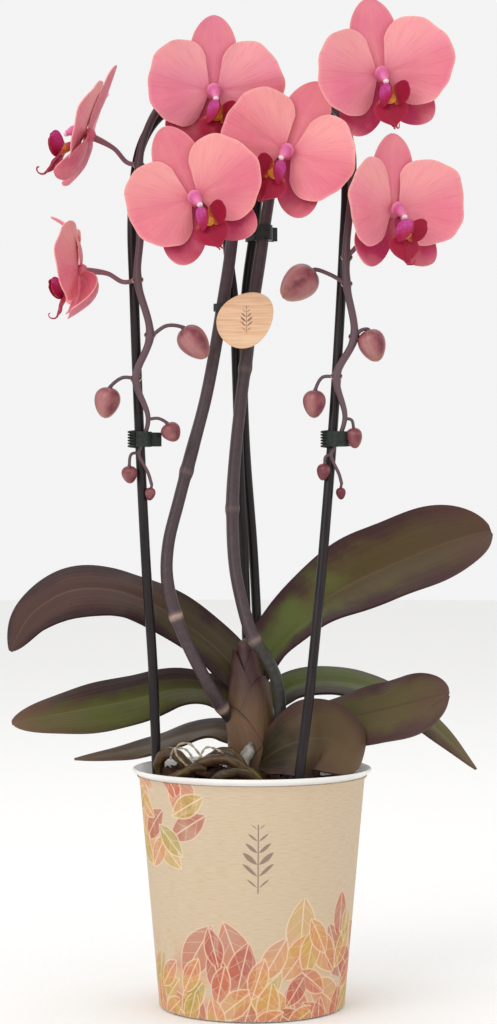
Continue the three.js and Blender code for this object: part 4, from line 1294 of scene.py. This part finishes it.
@dataclass
class Bloom:
    """An open flower. at is its heart, face is where it looks, and roll turns it in its own plane."""

    name: str
    spike: str
    node: Point  # where its stalk leaves the spike
    at: Point
    face: Point
    roll: float = 0.0  # degrees
    cup: float = 7.0  # how far the petals come forward
    # How far the upper sepal and the lower ones lean back at their root and come forward at their tip.
    dorsal: tuple[float, float] = (8.0, 4.0)
    lateral: tuple[float, float] = (20.0, 42.0)
    dorsal_size: tuple[float, float] = (37.0, 12.5)  # length and half width
    lateral_size: tuple[float, float] = (34.0, 11.5)
    lateral_turn: float = 141.0  # degrees from upright
    twist: float = 0.0  # how far the outer margins of the lower sepals turn back, in degrees
    deep: float = 1.0  # how strong the lower sepals' shadow tone is: their own deeper crimson with painted shade under the lip
    size: float = 1.0
    pink: float = 0.0  # how far it goes from coral to rose
    near: int = -1  # the side whose lip lobe stands up straight
    petal_long: float = 34.5
    petal_fan: float = 76.0  # degrees to each side
    wall: float = 0.55
    flank_wall: float = 0.7
    lobe_wall: float = 0.8
    heart_r: float = 4.2
    back: float = -5.8  # where the stalk meets the flower

    def seat(self, p: Array | Points) -> Array:
        """Move points from the flower's own frame to their place on the plant.

        Args:
            p: rows of points.

        Returns:
            Rows of points in millimetres.
        """
        ahead = unit(np.array(self.face, float))
        side = unit(np.cross((0, 0, 1), ahead))
        up = np.cross(ahead, side)
        c, s = math.cos(math.radians(self.roll)), math.sin(math.radians(self.roll))
        x, y, z = (np.array(p, float) * self.size).T[:, :, None]
        return np.array(self.at) + (x * c - y * s) * side + (x * s + y * c) * up + z * ahead

    def blade(self, name: str, grid: Grid, points: Array, wall: float, **shades: Number) -> Object:
        """A thin blade from points in the flower's own frame, in place."""
        return thick(grid.surface(name, self.seat(points), **shades), wall)

    def sepal(self, angle: float, length: float, half_width: float, bend: tuple[float, float]) -> Object:
        """A pointed oval sepal, bent in an arc, darker towards the heart with crimson and painted shade, and
        paler at its rim.

        Args:
            angle: the way it points, in degrees from upright.
            length: its length.
            half_width: half its width.
            bend: how far it leans back at its root and comes forward at its tip, in degrees.

        Returns:
            The sepal.
        """
        grid = Grid(20, 30)
        v, t, low = grid.v, grid.t, abs(angle) > 90
        turn, (back, ahead) = math.radians(angle), (math.radians(b) for b in bend)
        arc = back + ahead
        twist = math.radians(self.twist) * low * math.copysign(1, angle)
        # Seen from the side the sepal is an arc, and u is the share of it that is passed.
        u = 1 - (1 - t) ** 1.5
        half = half_width * np.sin(math.pi * np.minimum(0.9995, 0.07 + 0.93 * u) ** 1.12) ** 0.52
        out = 3 + length / arc * (np.sin(arc * u - back) + math.sin(back))
        rise = length / arc * (math.cos(back) - np.cos(arc * u - back))
        fold = (0.09 * half + 0.25 * np.sin(u * 9 + angle)) * v * v - 0.5 * np.exp(-((v * 6) ** 2)) * (1 - u)
        flat = math.cos(twist) * half * v
        x = math.sin(turn) * out + math.cos(turn) * flat
        y = math.cos(turn) * out - math.sin(turn) * flat
        rim = 0.75 * smooth((np.abs(v) - 0.9) / 0.1) + 0.5 * smooth((t - 0.95) / 0.05)
        tones = {
            "rose": self.pink,
            "blush": (0.8 if low else 0.5) * (1 - 0.6 * t),
            "pale": rim + 0.25 * hump(v, 0, 0.1) * (1 - t),
            # Painted shade towards the heart; on the lower sepals it also gives their own deeper crimson.
            "shadow": (self.deep if low else 0.15) * smooth((1.05 - t) / 0.5),
        }
        points = stack(x, y, rise + fold - 1 + math.sin(twist) * half * v)
        return self.blade("sepal", grid, points, self.wall, **tones)

    def petal(self, side: int) -> Object:
        """A petal: it fans out from a narrow claw, taller than it is long, with a reddened band.

        Args:
            side: 1 or -1, the side of the heart it stands on.

        Returns:
            The petal.
        """
        grid = Grid(56, 30)
        v, t = grid.v, grid.t
        # Rays fan out from the claw, the longest near the middle, with ripples along the rim.
        angle = v * math.radians(self.petal_fan)
        reach = self.petal_long * np.cos(1.12 * angle) ** 0.3 * (1 + 0.12 * np.sin(angle))
        ripple = 0.016 * np.sin(angle * 7 + 2 * side + self.roll) + 0.008 * np.sin(angle * 17 + self.cup)
        far = reach * (1 + ripple) * mix(0.03, 1, t)
        rise = angle + math.radians(6)
        out = far * np.cos(rise)
        wave = 1.1 * np.sin(angle * 5 + side + self.roll) + 0.4 * np.sin(angle * 11 + self.roll)
        deep = 0.7 + self.cup * smooth(out / self.petal_long) + t * t * (wave - 1.4 * np.sin(angle) ** 2)
        crease = 0.7 * np.exp(-((angle * 5) ** 2)) * (1 - t) * t * 4
        band, top = 0.6 * hump(v, -0.2, 0.42) * smooth(t / 0.6), 0.5 * smooth((v - 0.05) / 0.6)
        tones = {
            "rose": self.pink,
            "blush": np.clip(band + 0.4 * smooth((0.25 - t) / 0.2), 0, 1),
            "pale": np.clip(0.75 * smooth((t - 0.95) / 0.05) + top * smooth((t - 0.15) / 0.5), 0, 1),
            "shadow": 0.3 * smooth((-0.55 - v) / 0.3) * (1 - t) + 0.3 * smooth((0.12 - t) / 0.12),
        }
        points = stack(side * (2 + out), 0.5 + far * np.sin(rise), deep - crease)
        return self.blade("petal", grid, points, self.wall, **tones)

    def heart(self) -> Object:
        """The small knob where the blades meet, a flattened ball.

        Returns:
            The knob.
        """
        grid = Grid(18, 12)
        lift = (grid.t - 0.5) * math.pi
        wide = self.heart_r * np.maximum(0.002, np.cos(lift))
        points = self.seat(ring(wide, grid.turn, 3.8 * np.sin(lift) - 1.6))
        return closed(grid.surface("heart", points, rose=0, blush=0.8, pale=0, shadow=0.3))

    def flank(self, side: int) -> Object:
        """A side lobe of the lip: an oval that stands up beside the column.

        Args:
            side: 1 or -1, the side it stands on.

        Returns:
            The lobe.
        """
        grid = Grid(14, 14)
        v, t = grid.v, grid.t
        foot, lean = (4.4, math.radians(-28)) if side == self.near else (2.5, math.radians(48))
        full = np.sin(math.pi * mix(0.2, 0.97, t)) ** 0.55
        out = 10.5 * t
        x = side * (foot + math.sin(lean) * out + 0.9 * np.sin(math.pi * t) - 0.4 * v * full)
        y = -11.8 + 0.38 * out + 5.6 * v * full
        z = 8.8 + 0.95 * math.cos(lean) * out + 1.3 * v * v * full
        purple, orange = 0.1 + 0.85 * smooth((grid.s - 0.15) / 0.6), 0.75 * smooth((0.2 - t) / 0.2)
        points = stack(x, y, z)
        lobe = self.blade("side_lobe", grid, points, self.flank_wall, flank=purple, callus=orange, pale=0)
        # The outer face of a side lobe is purple, and the inner one crimson with an orange foot.
        heart, beside = self.seat([(0, 0, 0), (side, 0, -0.4)])
        outer = vertices(lobe, "vector") @ (beside - heart) > 0
        for key, shown in (("flank", outer), ("callus", ~outer)):
            layer = lobe.data.attributes[key].data
            values = np.empty(len(outer), np.float32)
            layer.foreach_get("value", values)
            layer.foreach_set("value", values * shown)
        return lobe

    def middle_lobe(self) -> Object:
        """The broad middle lobe of the lip, with a keel along it and the callus in its throat.

        Returns:
            The lobe.
        """
        grid = Grid(24, 26)
        v, t = grid.v, grid.t
        bulge = 0.3 + 0.7 * np.sin(math.pi * np.minimum(1, t * 1.1) ** 0.9) ** 0.7
        half = 9.2 * bulge * np.sqrt(1 - 0.9 * t**6)
        rise = 7.5 * t - 3.5 * t * t + 5 * np.maximum(0, t - 0.7)
        keel = 1.1 * np.exp(-((v * 4) ** 2)) * np.sin(math.pi * t)
        z = 7.4 + rise - 0.05 * half * v * v + keel + 0.3 * np.sin(t * 14) * v * v
        orange, rim = 0.8 * smooth((0.2 - t) / 0.18), 0.5 * smooth((np.abs(v) - 0.8) / 0.2)
        points = stack(half * v, -12 - 15 * t, z)
        return self.blade("middle_lobe", grid, points, self.lobe_wall, flank=0, callus=orange, pale=rim)

    def lip(self) -> Object:
        """The lip: its three lobes, a claw, and two tendrils at its tip.

        Returns:
            The lip.
        """
        pieces = [self.middle_lobe(), self.flank(1), self.flank(-1)]
        grid = Grid(18, 16)
        t = grid.t
        claw = Route(self.seat([(0, -5.2, 2.4), (0, -8, 5.4), (0, -11.6, 9), (0, -12.8, 12.2)]))
        wide = self.size * (1.5 + 1.5 * smooth(t * 1.3) * (1 + 0.3 * np.sin(grid.turn * 2 + 1) * t))
        tones = {"flank": 0.5 * (1 - t), "callus": 0.9 * smooth((t - 0.3) / 0.4), "pale": 0}
        pieces.append(grid.limb("claw", claw, wide, **tones))
        grid = Grid(8, 14)
        x, y, z = (0.5, 0.8, 1.1, 1.3, 1.2), (-26.3, -27.9, -27.5, -25.6, -24.6), (12.2, 14.4, 17, 18, 16.8)
        wide = self.size * (0.5 - 0.3 * grid.t)
        for side in (1, -1):
            route = Route(self.seat(stack(side * np.array(x), y, z)))
            pieces.append(grid.limb("tendril", route, wide, flank=0, callus=0, pale=0.7))
        return joined(f"{self.name}_lip_lobes", pieces)

    def column(self) -> Object:
        """The column, with a pink ring at its foot and a pale anther cap.

        Returns:
            The column.
        """
        grid = Grid(22, 34)
        t = grid.t
        route = Route(self.seat([(0, 1.6, 1.6), (0, 0.6, 5), (0, -1.6, 8.4), (0, -4.4, 11.2)]))
        swell = 0.7 * hump(t, 0.14, 0.07) - 0.4 * hump(t, 0.27, 0.05)
        body = mix(2.9, 1.55, smooth((t - 0.5) / 0.32)) + 0.25 * np.cos(grid.turn)
        close = np.sqrt(np.maximum(0.02, 1 - np.maximum(0, (t - 0.86) / 0.14) ** 2))
        root = np.maximum(hump(t, 0.12, 0.09), 0.6 * smooth((t - 0.5) / 0.3))
        wide = self.size * (body + swell) * close
        return grid.limb(f"{self.name}_column_cap", route, wide, cap=smooth((t - 0.84) / 0.05), root=root)

    def stalk(self) -> Object:
        """The stalk, from its node on the spike round to the back of the flower, where it is thicker.

        Returns:
            The stalk.
        """
        grid = Grid(12, 40)
        t = grid.t
        inside, end, before = self.seat([(0, 0, -2.5), (0, 0, self.back), (0, -1.5, self.back - 11)])
        middle = mix(np.array(self.node), before, 0.5) + (0, 1.5, -2.5)
        wide = mix(1.25, 1.9, smooth((t - 0.5) / 0.5)) * (1 + 0.05 * np.cos(3 * grid.turn))
        tones = {"young": 0.7 + 0.3 * t, "green": 0, "node": 0, "rosy": 0.2 + 0.7 * t}
        return grid.limb("stalk", Route([self.node, middle, before, end, inside]), wide, **tones)

    def build(self, petal: Material, lip: Material, column: Material) -> None:
        """Model the flower and dress it.

        Args:
            petal: material of petals and sepals.
            lip: material of the lip.
            column: material of the column.
        """
        blades = [
            self.heart(),
            self.sepal(0, *self.dorsal_size, self.dorsal),
            self.sepal(self.lateral_turn, *self.lateral_size, self.lateral),
            self.sepal(-self.lateral_turn, *self.lateral_size, self.lateral),
            self.petal(1),
            self.petal(-1),
        ]
        dress(joined(f"{self.name}_blades", blades), petal, "petal_coral", f"{self.name}_tepals", crease=60)
        dress(self.lip(), lip, "lip_crimson", f"{self.name}_lip", crease=60)
        dress(self.column(), column, "column_pink", f"{self.name}_column", crease=60)


BLOOMS = [
    Bloom("bloom_1", "spike_left", (-41, -3, 486), (-20.6, -22, 484.6), (0.2, -0.96, -0.15), pink=0.6),
    Bloom(
        "bloom_2", "spike_right", (44.5, -5, 479), (67.4, -31, 492), (0.16, -0.96, -0.16),
        roll=12, cup=15, pink=0.35,
    ),
    Bloom(
        "bloom_3", "spike_right", (52.8, -13, 440), (18.6, -37, 450.7), (-0.2, -0.97, -0.12),
        roll=-26, dorsal=(12, -4), near=1,
    ),
    Bloom("bloom_4", "spike_left", (-60, -17, 425), (-29.6, -50, 424.7), (0.17, -0.97, -0.1), roll=25),
    Bloom(
        "bloom_5", "spike_right", (50, -16.5, 398), (74.2, -32, 421), (0.5, -0.85, -0.1),
        roll=3, cup=12, pink=0.25,
    ),
    Bloom(
        "bloom_6", "spike_left", (-60, -15.5, 447), (-88, -13, 463.5), (-0.91, 0.03, 0.36),
        cup=1.5, dorsal=(3, 1), lateral=(30, 55), deep=0.5,
    ),
    Bloom(
        "bloom_7", "spike_left", (-60.5, -17.5, 386), (-91.5, -16, 391), (-1, -0.04, 0),
        cup=11, dorsal=(12, 75), lateral=(35, 60), deep=0.1, twist=42, size=0.9,
    ),
]


@dataclass
class Bud:
    """A closed bud on its stalk. The stalk leaves the stem at start, and the bud points from at to tip."""

    start: Point
    via: Point
    at: Point
    tip: Point
    size: float

    def along(self, share: float) -> Array:
        """The place at a share of the bud's length."""
        return mix(np.array(self.at, float), np.array(self.tip, float), share)

    def body(self) -> Object:
        """The bud: a blunt egg with three soft ridges, painted paler on them as a highlight and dark in the
        seams between them with painted shade.

        Returns:
            The bud.
        """
        grid = Grid(24, 26)
        t, turn = grid.t, grid.turn
        around = np.sqrt(np.maximum(0, 1 - (2 * t - 1) ** 2))
        ridge = 1 + 0.05 * np.cos(3 * turn) - 0.05 * np.exp(-((np.sin(1.5 * turn) / 0.16) ** 2)) * t
        tones = {
            # Painted light: a highlight along the ridges, and painted shade in the seams between them.
            "ridge": 0.9 * smooth(0.5 - 0.7 * np.cos(3 * turn)) * smooth(t / 0.3),
            "seam_shade": 0.8 * np.exp(-((np.sin(1.5 * turn) / 0.2) ** 2)) * smooth(t * 2),
            "foot": 0.7 * smooth((0.25 - t) / 0.25),
            "tip": 0.5 * smooth((t - 0.6) / 0.4),
            "young": min(1.0, max(0.0, (7 - self.size) / 4)),
        }
        route = Route([self.along(share) for share in (0.0, 0.5, 1.0)], 40)
        return grid.limb("bud", route, self.size * (1.27 - 0.47 * t) * ridge * around, **tones)

    def stalk(self) -> Object:
        """The bud's stalk, which widens into the bud's foot.

        Returns:
            The stalk.
        """
        grid = Grid(10, 20)
        route = Route([self.start, self.via, self.at, self.along(0.12)], 60)
        wide = (0.6 + 0.06 * self.size) * (1 + 0.5 * smooth((grid.t - 0.8) / 0.2))
        return grid.limb("bud_stalk", route, wide, young=0.8, green=0, node=0)


@dataclass
class Spike:
    """A flower spike: its stem with the sheathed nodes low on it, its buds, and the stalks of its blooms."""

    name: str
    stem: Points
    buds: tuple[Bud, ...]
    sheaths: tuple[tuple[float, float], ...]  # height on the rising leg and paleness of each sheathed node
    bracts: Points  # nodes that carry a bloom or a bud
    bract_wall: float = 0.4
    # The stem's radius low down, above its bend and at its end.
    low_r: float = 3.3
    high_r: float = 2.0
    end_r: float = 0.9

    def main(self) -> Object:
        """The stem, which swells at each node, with a pale ring above a sheath, a green foot and a young end.

        Returns:
            The stem.
        """
        grid, route = Grid(18, 420), Route(self.stem, 600)
        t, z = grid.t, route.points[:, 2]
        # The sheathed nodes are on the rising leg, below the stem's highest point.
        rising = (route.steps >= 0.02) & (route.steps <= route.nearest(-z))
        offs = [np.where(rising, np.abs(z - high), np.inf) for high, _ in self.sheaths]
        rings = [(route.nearest(off), pale) for off, (_, pale) in zip(offs, self.sheaths)]
        wide = mix(self.low_r, self.high_r, smooth((t - 0.45) / 0.25))
        wide = mix(wide, self.end_r, smooth((t - 0.88) / 0.1))
        for at, _ in rings:
            sheath = smooth((t - at) / 0.003) * smooth((at + 0.05 - t) / 0.04)
            wide = wide + 0.6 * hump(t, at, 0.004) + 0.3 * sheath
        for node in self.bracts:
            wide = wide + 0.4 * hump(t, route.nearest(np.linalg.norm(route.points - node, axis=1)), 0.006)
        pale = sum(much * hump(t, at, 0.0024) for at, much in rings)
        tones = {
            "young": smooth((t - 0.6) / 0.3),
            "green": 0.8 * smooth((rings[0][0] + 0.002 - t) / 0.004),
            "node": np.clip(pale, 0, 1) * 0.9,
        }
        return grid.limb("stem", route, wide, **tones)

    def bract(self, at: Point) -> Object:
        """A small pointed scale that clasps the stem at a node.

        Args:
            at: its place.

        Returns:
            The scale.
        """
        grid = Grid(10, 8)
        t = grid.t
        turn = math.pi / 2 + (grid.s - 0.5) * 4.2 * np.maximum(0.04, 1 - t**1.6)
        wide = 2.2 + 0.9 * np.sin(math.pi * np.minimum(1, t * 1.2)) * (1 - 0.2 * t)
        points = np.array(at) + ring(wide, turn, 4.6 * t) + (0, -0.3, -1.5)
        return thick(grid.surface("bract", points, young=0.4, green=0, node=0.75), self.bract_wall)

    def build(self, skin: Material, bud: Material) -> None:
        """Model the spike and dress it.

        Args:
            skin: material of stems and stalks.
            bud: material of the buds.
        """
        stems = [self.main(), *(one.stalk() for one in self.buds)]
        stems += [bloom.stalk() for bloom in BLOOMS if bloom.spike == self.name]
        stems += [self.bract(p) for p in self.bracts]
        dress(joined(f"{self.name}_stems", stems), skin, "spike_skin", self.name, crease=60)
        dress(joined(f"{self.name}_buds", [one.body() for one in self.buds]), bud, "spike_skin", crease=60)


SPIKES = [
    Spike(
        "spike_left",
        (
            (0, 6, 142), (-9, 2.5, 150), (-16.5, -6, 160), (-26, -13, 177), (-35, -13, 195),
            (-42, -12, 213), (-45.3, -10, 230), (-44.5, -7, 247), (-39, -3, 270), (-32, 1, 297),
            (-25, 4, 324), (-19.8, 6, 351), (-15.6, 7, 377), (-12, 7, 400), (-9.6, 7, 425),
            (-11, 7, 455), (-19, 5, 479), (-33, 0, 489), (-47, -6, 482), (-57.5, -13, 461),
            (-60.5, -17, 438), (-59, -17, 412), (-60.5, -17.5, 386), (-54, -16, 357), (-61.5, -16.5, 334),
            (-55, -15.5, 313), (-59, -15, 298), (-60, -14.5, 294), (-55, -14, 284), (-53, -14, 277),
        ),
        (
            Bud((-54, -16, 356), (-45, -17, 362), (-36.5, -17, 361), (-24, -17, 345), 7.4),
            Bud((-61, -16.5, 334), (-68.5, -17, 334.5), (-75, -17, 329.5), (-78, -17, 313), 6.6),
            Bud((-55.5, -15.5, 312.5), (-49.5, -16, 313), (-45, -16, 310.5), (-40, -16, 301), 5),
            Bud((-60, -14.5, 295), (-64, -15, 294), (-65, -15, 288), (-64.5, -15, 278.5), 4),
            Bud((-53.2, -14, 279), (-53.2, -14, 277.5), (-53.4, -14, 276.5), (-54.5, -14, 269.5), 2.7),
        ),
        ((159, 0.95), (208, 0.95), (285, 0.14)),
        (
            (-41, -3, 486), (-60, -15.5, 447), (-60, -17, 425),
            (-60.5, -17.5, 386), (-54, -16, 357), (-61.5, -16.5, 334),
        ),
    ),
    Spike(
        "spike_right",
        (
            (7, 3, 140), (14, -3, 149), (14.8, -7, 162), (12.4, -11, 176), (7, -12.5, 187), (1, -13, 196),
            (-4.5, -9, 212), (-9, -3, 233), (-10.6, 3, 258), (-9.8, 7, 285), (-7.2, 9, 313), (-3.2, 9, 345),
            (0.6, 8.5, 375), (4.4, 8, 400), (8, 8, 425), (13, 8, 452), (22, 3, 476), (34, -2, 487),
            (46, -6, 477), (53, -11, 456), (52.5, -14, 430), (50, -16, 405), (50, -17, 384), (54, -16, 356),
            (44.5, -19.5, 335), (49, -19, 313), (43, -21, 297), (41.5, -22, 293.5), (46, -21, 283),
            (47.5, -20, 277),
        ),
        (
            Bud((50, -17, 384), (41, -18, 389), (33, -18, 391.5), (16, -18, 376.5), 8.6),
            Bud((54.5, -16, 356), (57.5, -16.5, 359.5), (61.5, -16.5, 360), (66.5, -16.5, 343), 7),
            Bud((44.5, -19.5, 335), (37, -18.5, 334.5), (33.4, -18.5, 328), (32.6, -18.5, 313), 5.8),
            Bud((49, -19, 313), (52.5, -19.5, 312), (53.5, -19.5, 308), (54.5, -19.5, 297), 4.2),
            Bud((41.5, -22, 294), (38.6, -22.5, 292.5), (38.2, -22.5, 289), (37, -22.5, 280), 3.4),
            Bud((47.3, -20, 279), (47, -20, 277.5), (46.8, -20, 276.5), (47, -20, 270), 2.5),
        ),
        ((195, 0.4), (265, 0.14), (340, 0.12)),
        (
            (44.5, -5, 479), (52.8, -13, 440), (50, -16.5, 398),
            (50, -17, 384), (54, -16, 356), (44.5, -19.5, 335),
        ),
    ),
]


# Floor, lights and camera.


class Softbox(Enum):
    """The soft lights: place, aim, size in metres and power in watts."""

    KEY = ((-1.3, -1.7, 1.5), (0, 0, 0.28), 1.5, 17.0)
    FILL = ((1.7, -1.2, 0.8), (0, 0, 0.26), 1.4, 2.5)
    TOP = ((0.1, 0.3, 2.0), (0, 0, 0.2), 1.6, 6.0)


@dataclass
class Studio:
    """A pale floor, soft lights and the camera at the photograph's angle. Its lengths are in metres."""

    camera_at: Point = (-0.0019, -1.3, 0.2635)
    seen_high: float = 0.5485  # height in the frame at the pot's axis
    sensor: float = 36.0  # width of the camera's sensor, in millimetres
    floor_r: float = 6.0
    floor_z: float = -0.0003
    surround: float = 0.9  # strength of the white light from all round

    def floor(self) -> None:
        """A wide round floor of pale paper, matt with a fine tooth, so that shadows fall on it softly."""
        bpy.ops.object.select_all(action="DESELECT")
        place = (0, 0, self.floor_z)
        bpy.ops.mesh.primitive_circle_add(vertices=64, radius=self.floor_r, fill_type="NGON", location=place)
        obj = named("floor")
        r = Recipe("pale_paper", Roughness=0.9, Specular_IOR_Level=0.1)
        grain = r.add("TexNoise", {"Vector": r.add("TexCoord").outputs["Object"], "Scale": 400.0})
        ramp = r.add("ValToRGB", (grain,), stops=((0.0, "F2F1EF"), (1.0, "FAFAF9")))
        obj.data.materials.append(r.done(ramp, grain, 0.02))

    def lights(self) -> None:
        """Three softboxes and a white surround."""
        for box in Softbox:
            at, aim, size, power = box.value
            lamp = bpy.data.lights.new(box.name.lower(), "AREA")
            lamp.size, lamp.energy = size, power
            obj = bpy.data.objects.new(box.name.lower(), lamp)
            obj.location = at
            obj.rotation_euler = (Vector(aim) - Vector(at)).to_track_quat("-Z", "Y").to_euler()
            bpy.context.scene.collection.objects.link(obj)
        world = bpy.data.worlds.new("surround")
        world.use_nodes = True
        ground = world.node_tree.nodes["Background"]
        ground.inputs["Color"].default_value = (1, 1, 1, 1)
        ground.inputs["Strength"].default_value = self.surround
        bpy.context.scene.world = world
        bpy.context.scene.view_settings.view_transform = "Standard"

    def camera(self) -> None:
        """The camera, level and square to the front."""
        data = bpy.data.cameras.new("camera")
        data.sensor_width = self.sensor
        data.lens = self.sensor * -self.camera_at[1] / self.seen_high
        data.clip_end = 50
        obj = bpy.data.objects.new("camera", data)
        obj.location = self.camera_at
        obj.rotation_euler = (math.pi / 2, 0, 0)
        bpy.context.scene.collection.objects.link(obj)
        bpy.context.scene.camera = obj

    def build(self) -> None:
        """Set up the whole studio."""
        self.camera()
        self.floor()
        self.lights()


def main() -> None:
    """Build every piece in order; each piece's face count is logged as it is dressed."""
    logging.basicConfig(level=logging.INFO, format="%(message)s")
    Studio().build()
    pots = Pots()
    pots.cover()
    pots.sleeve()
    pots.grow_pot()
    Filling().build()
    Roots().build()
    Hoops().build()
    Fasteners().build()
    Crown().build()
    for leaf in LEAVES:
        leaf.build()
    stem, bud = STEM.material(), BUD.material()
    for spike in SPIKES:
        spike.build(stem, bud)
    petal, lip, column = PETAL.material(), LIP.material(), COLUMN.material()
    for bloom in BLOOMS:
        bloom.build(petal, lip, column)


if __name__ == "__main__":
    main()
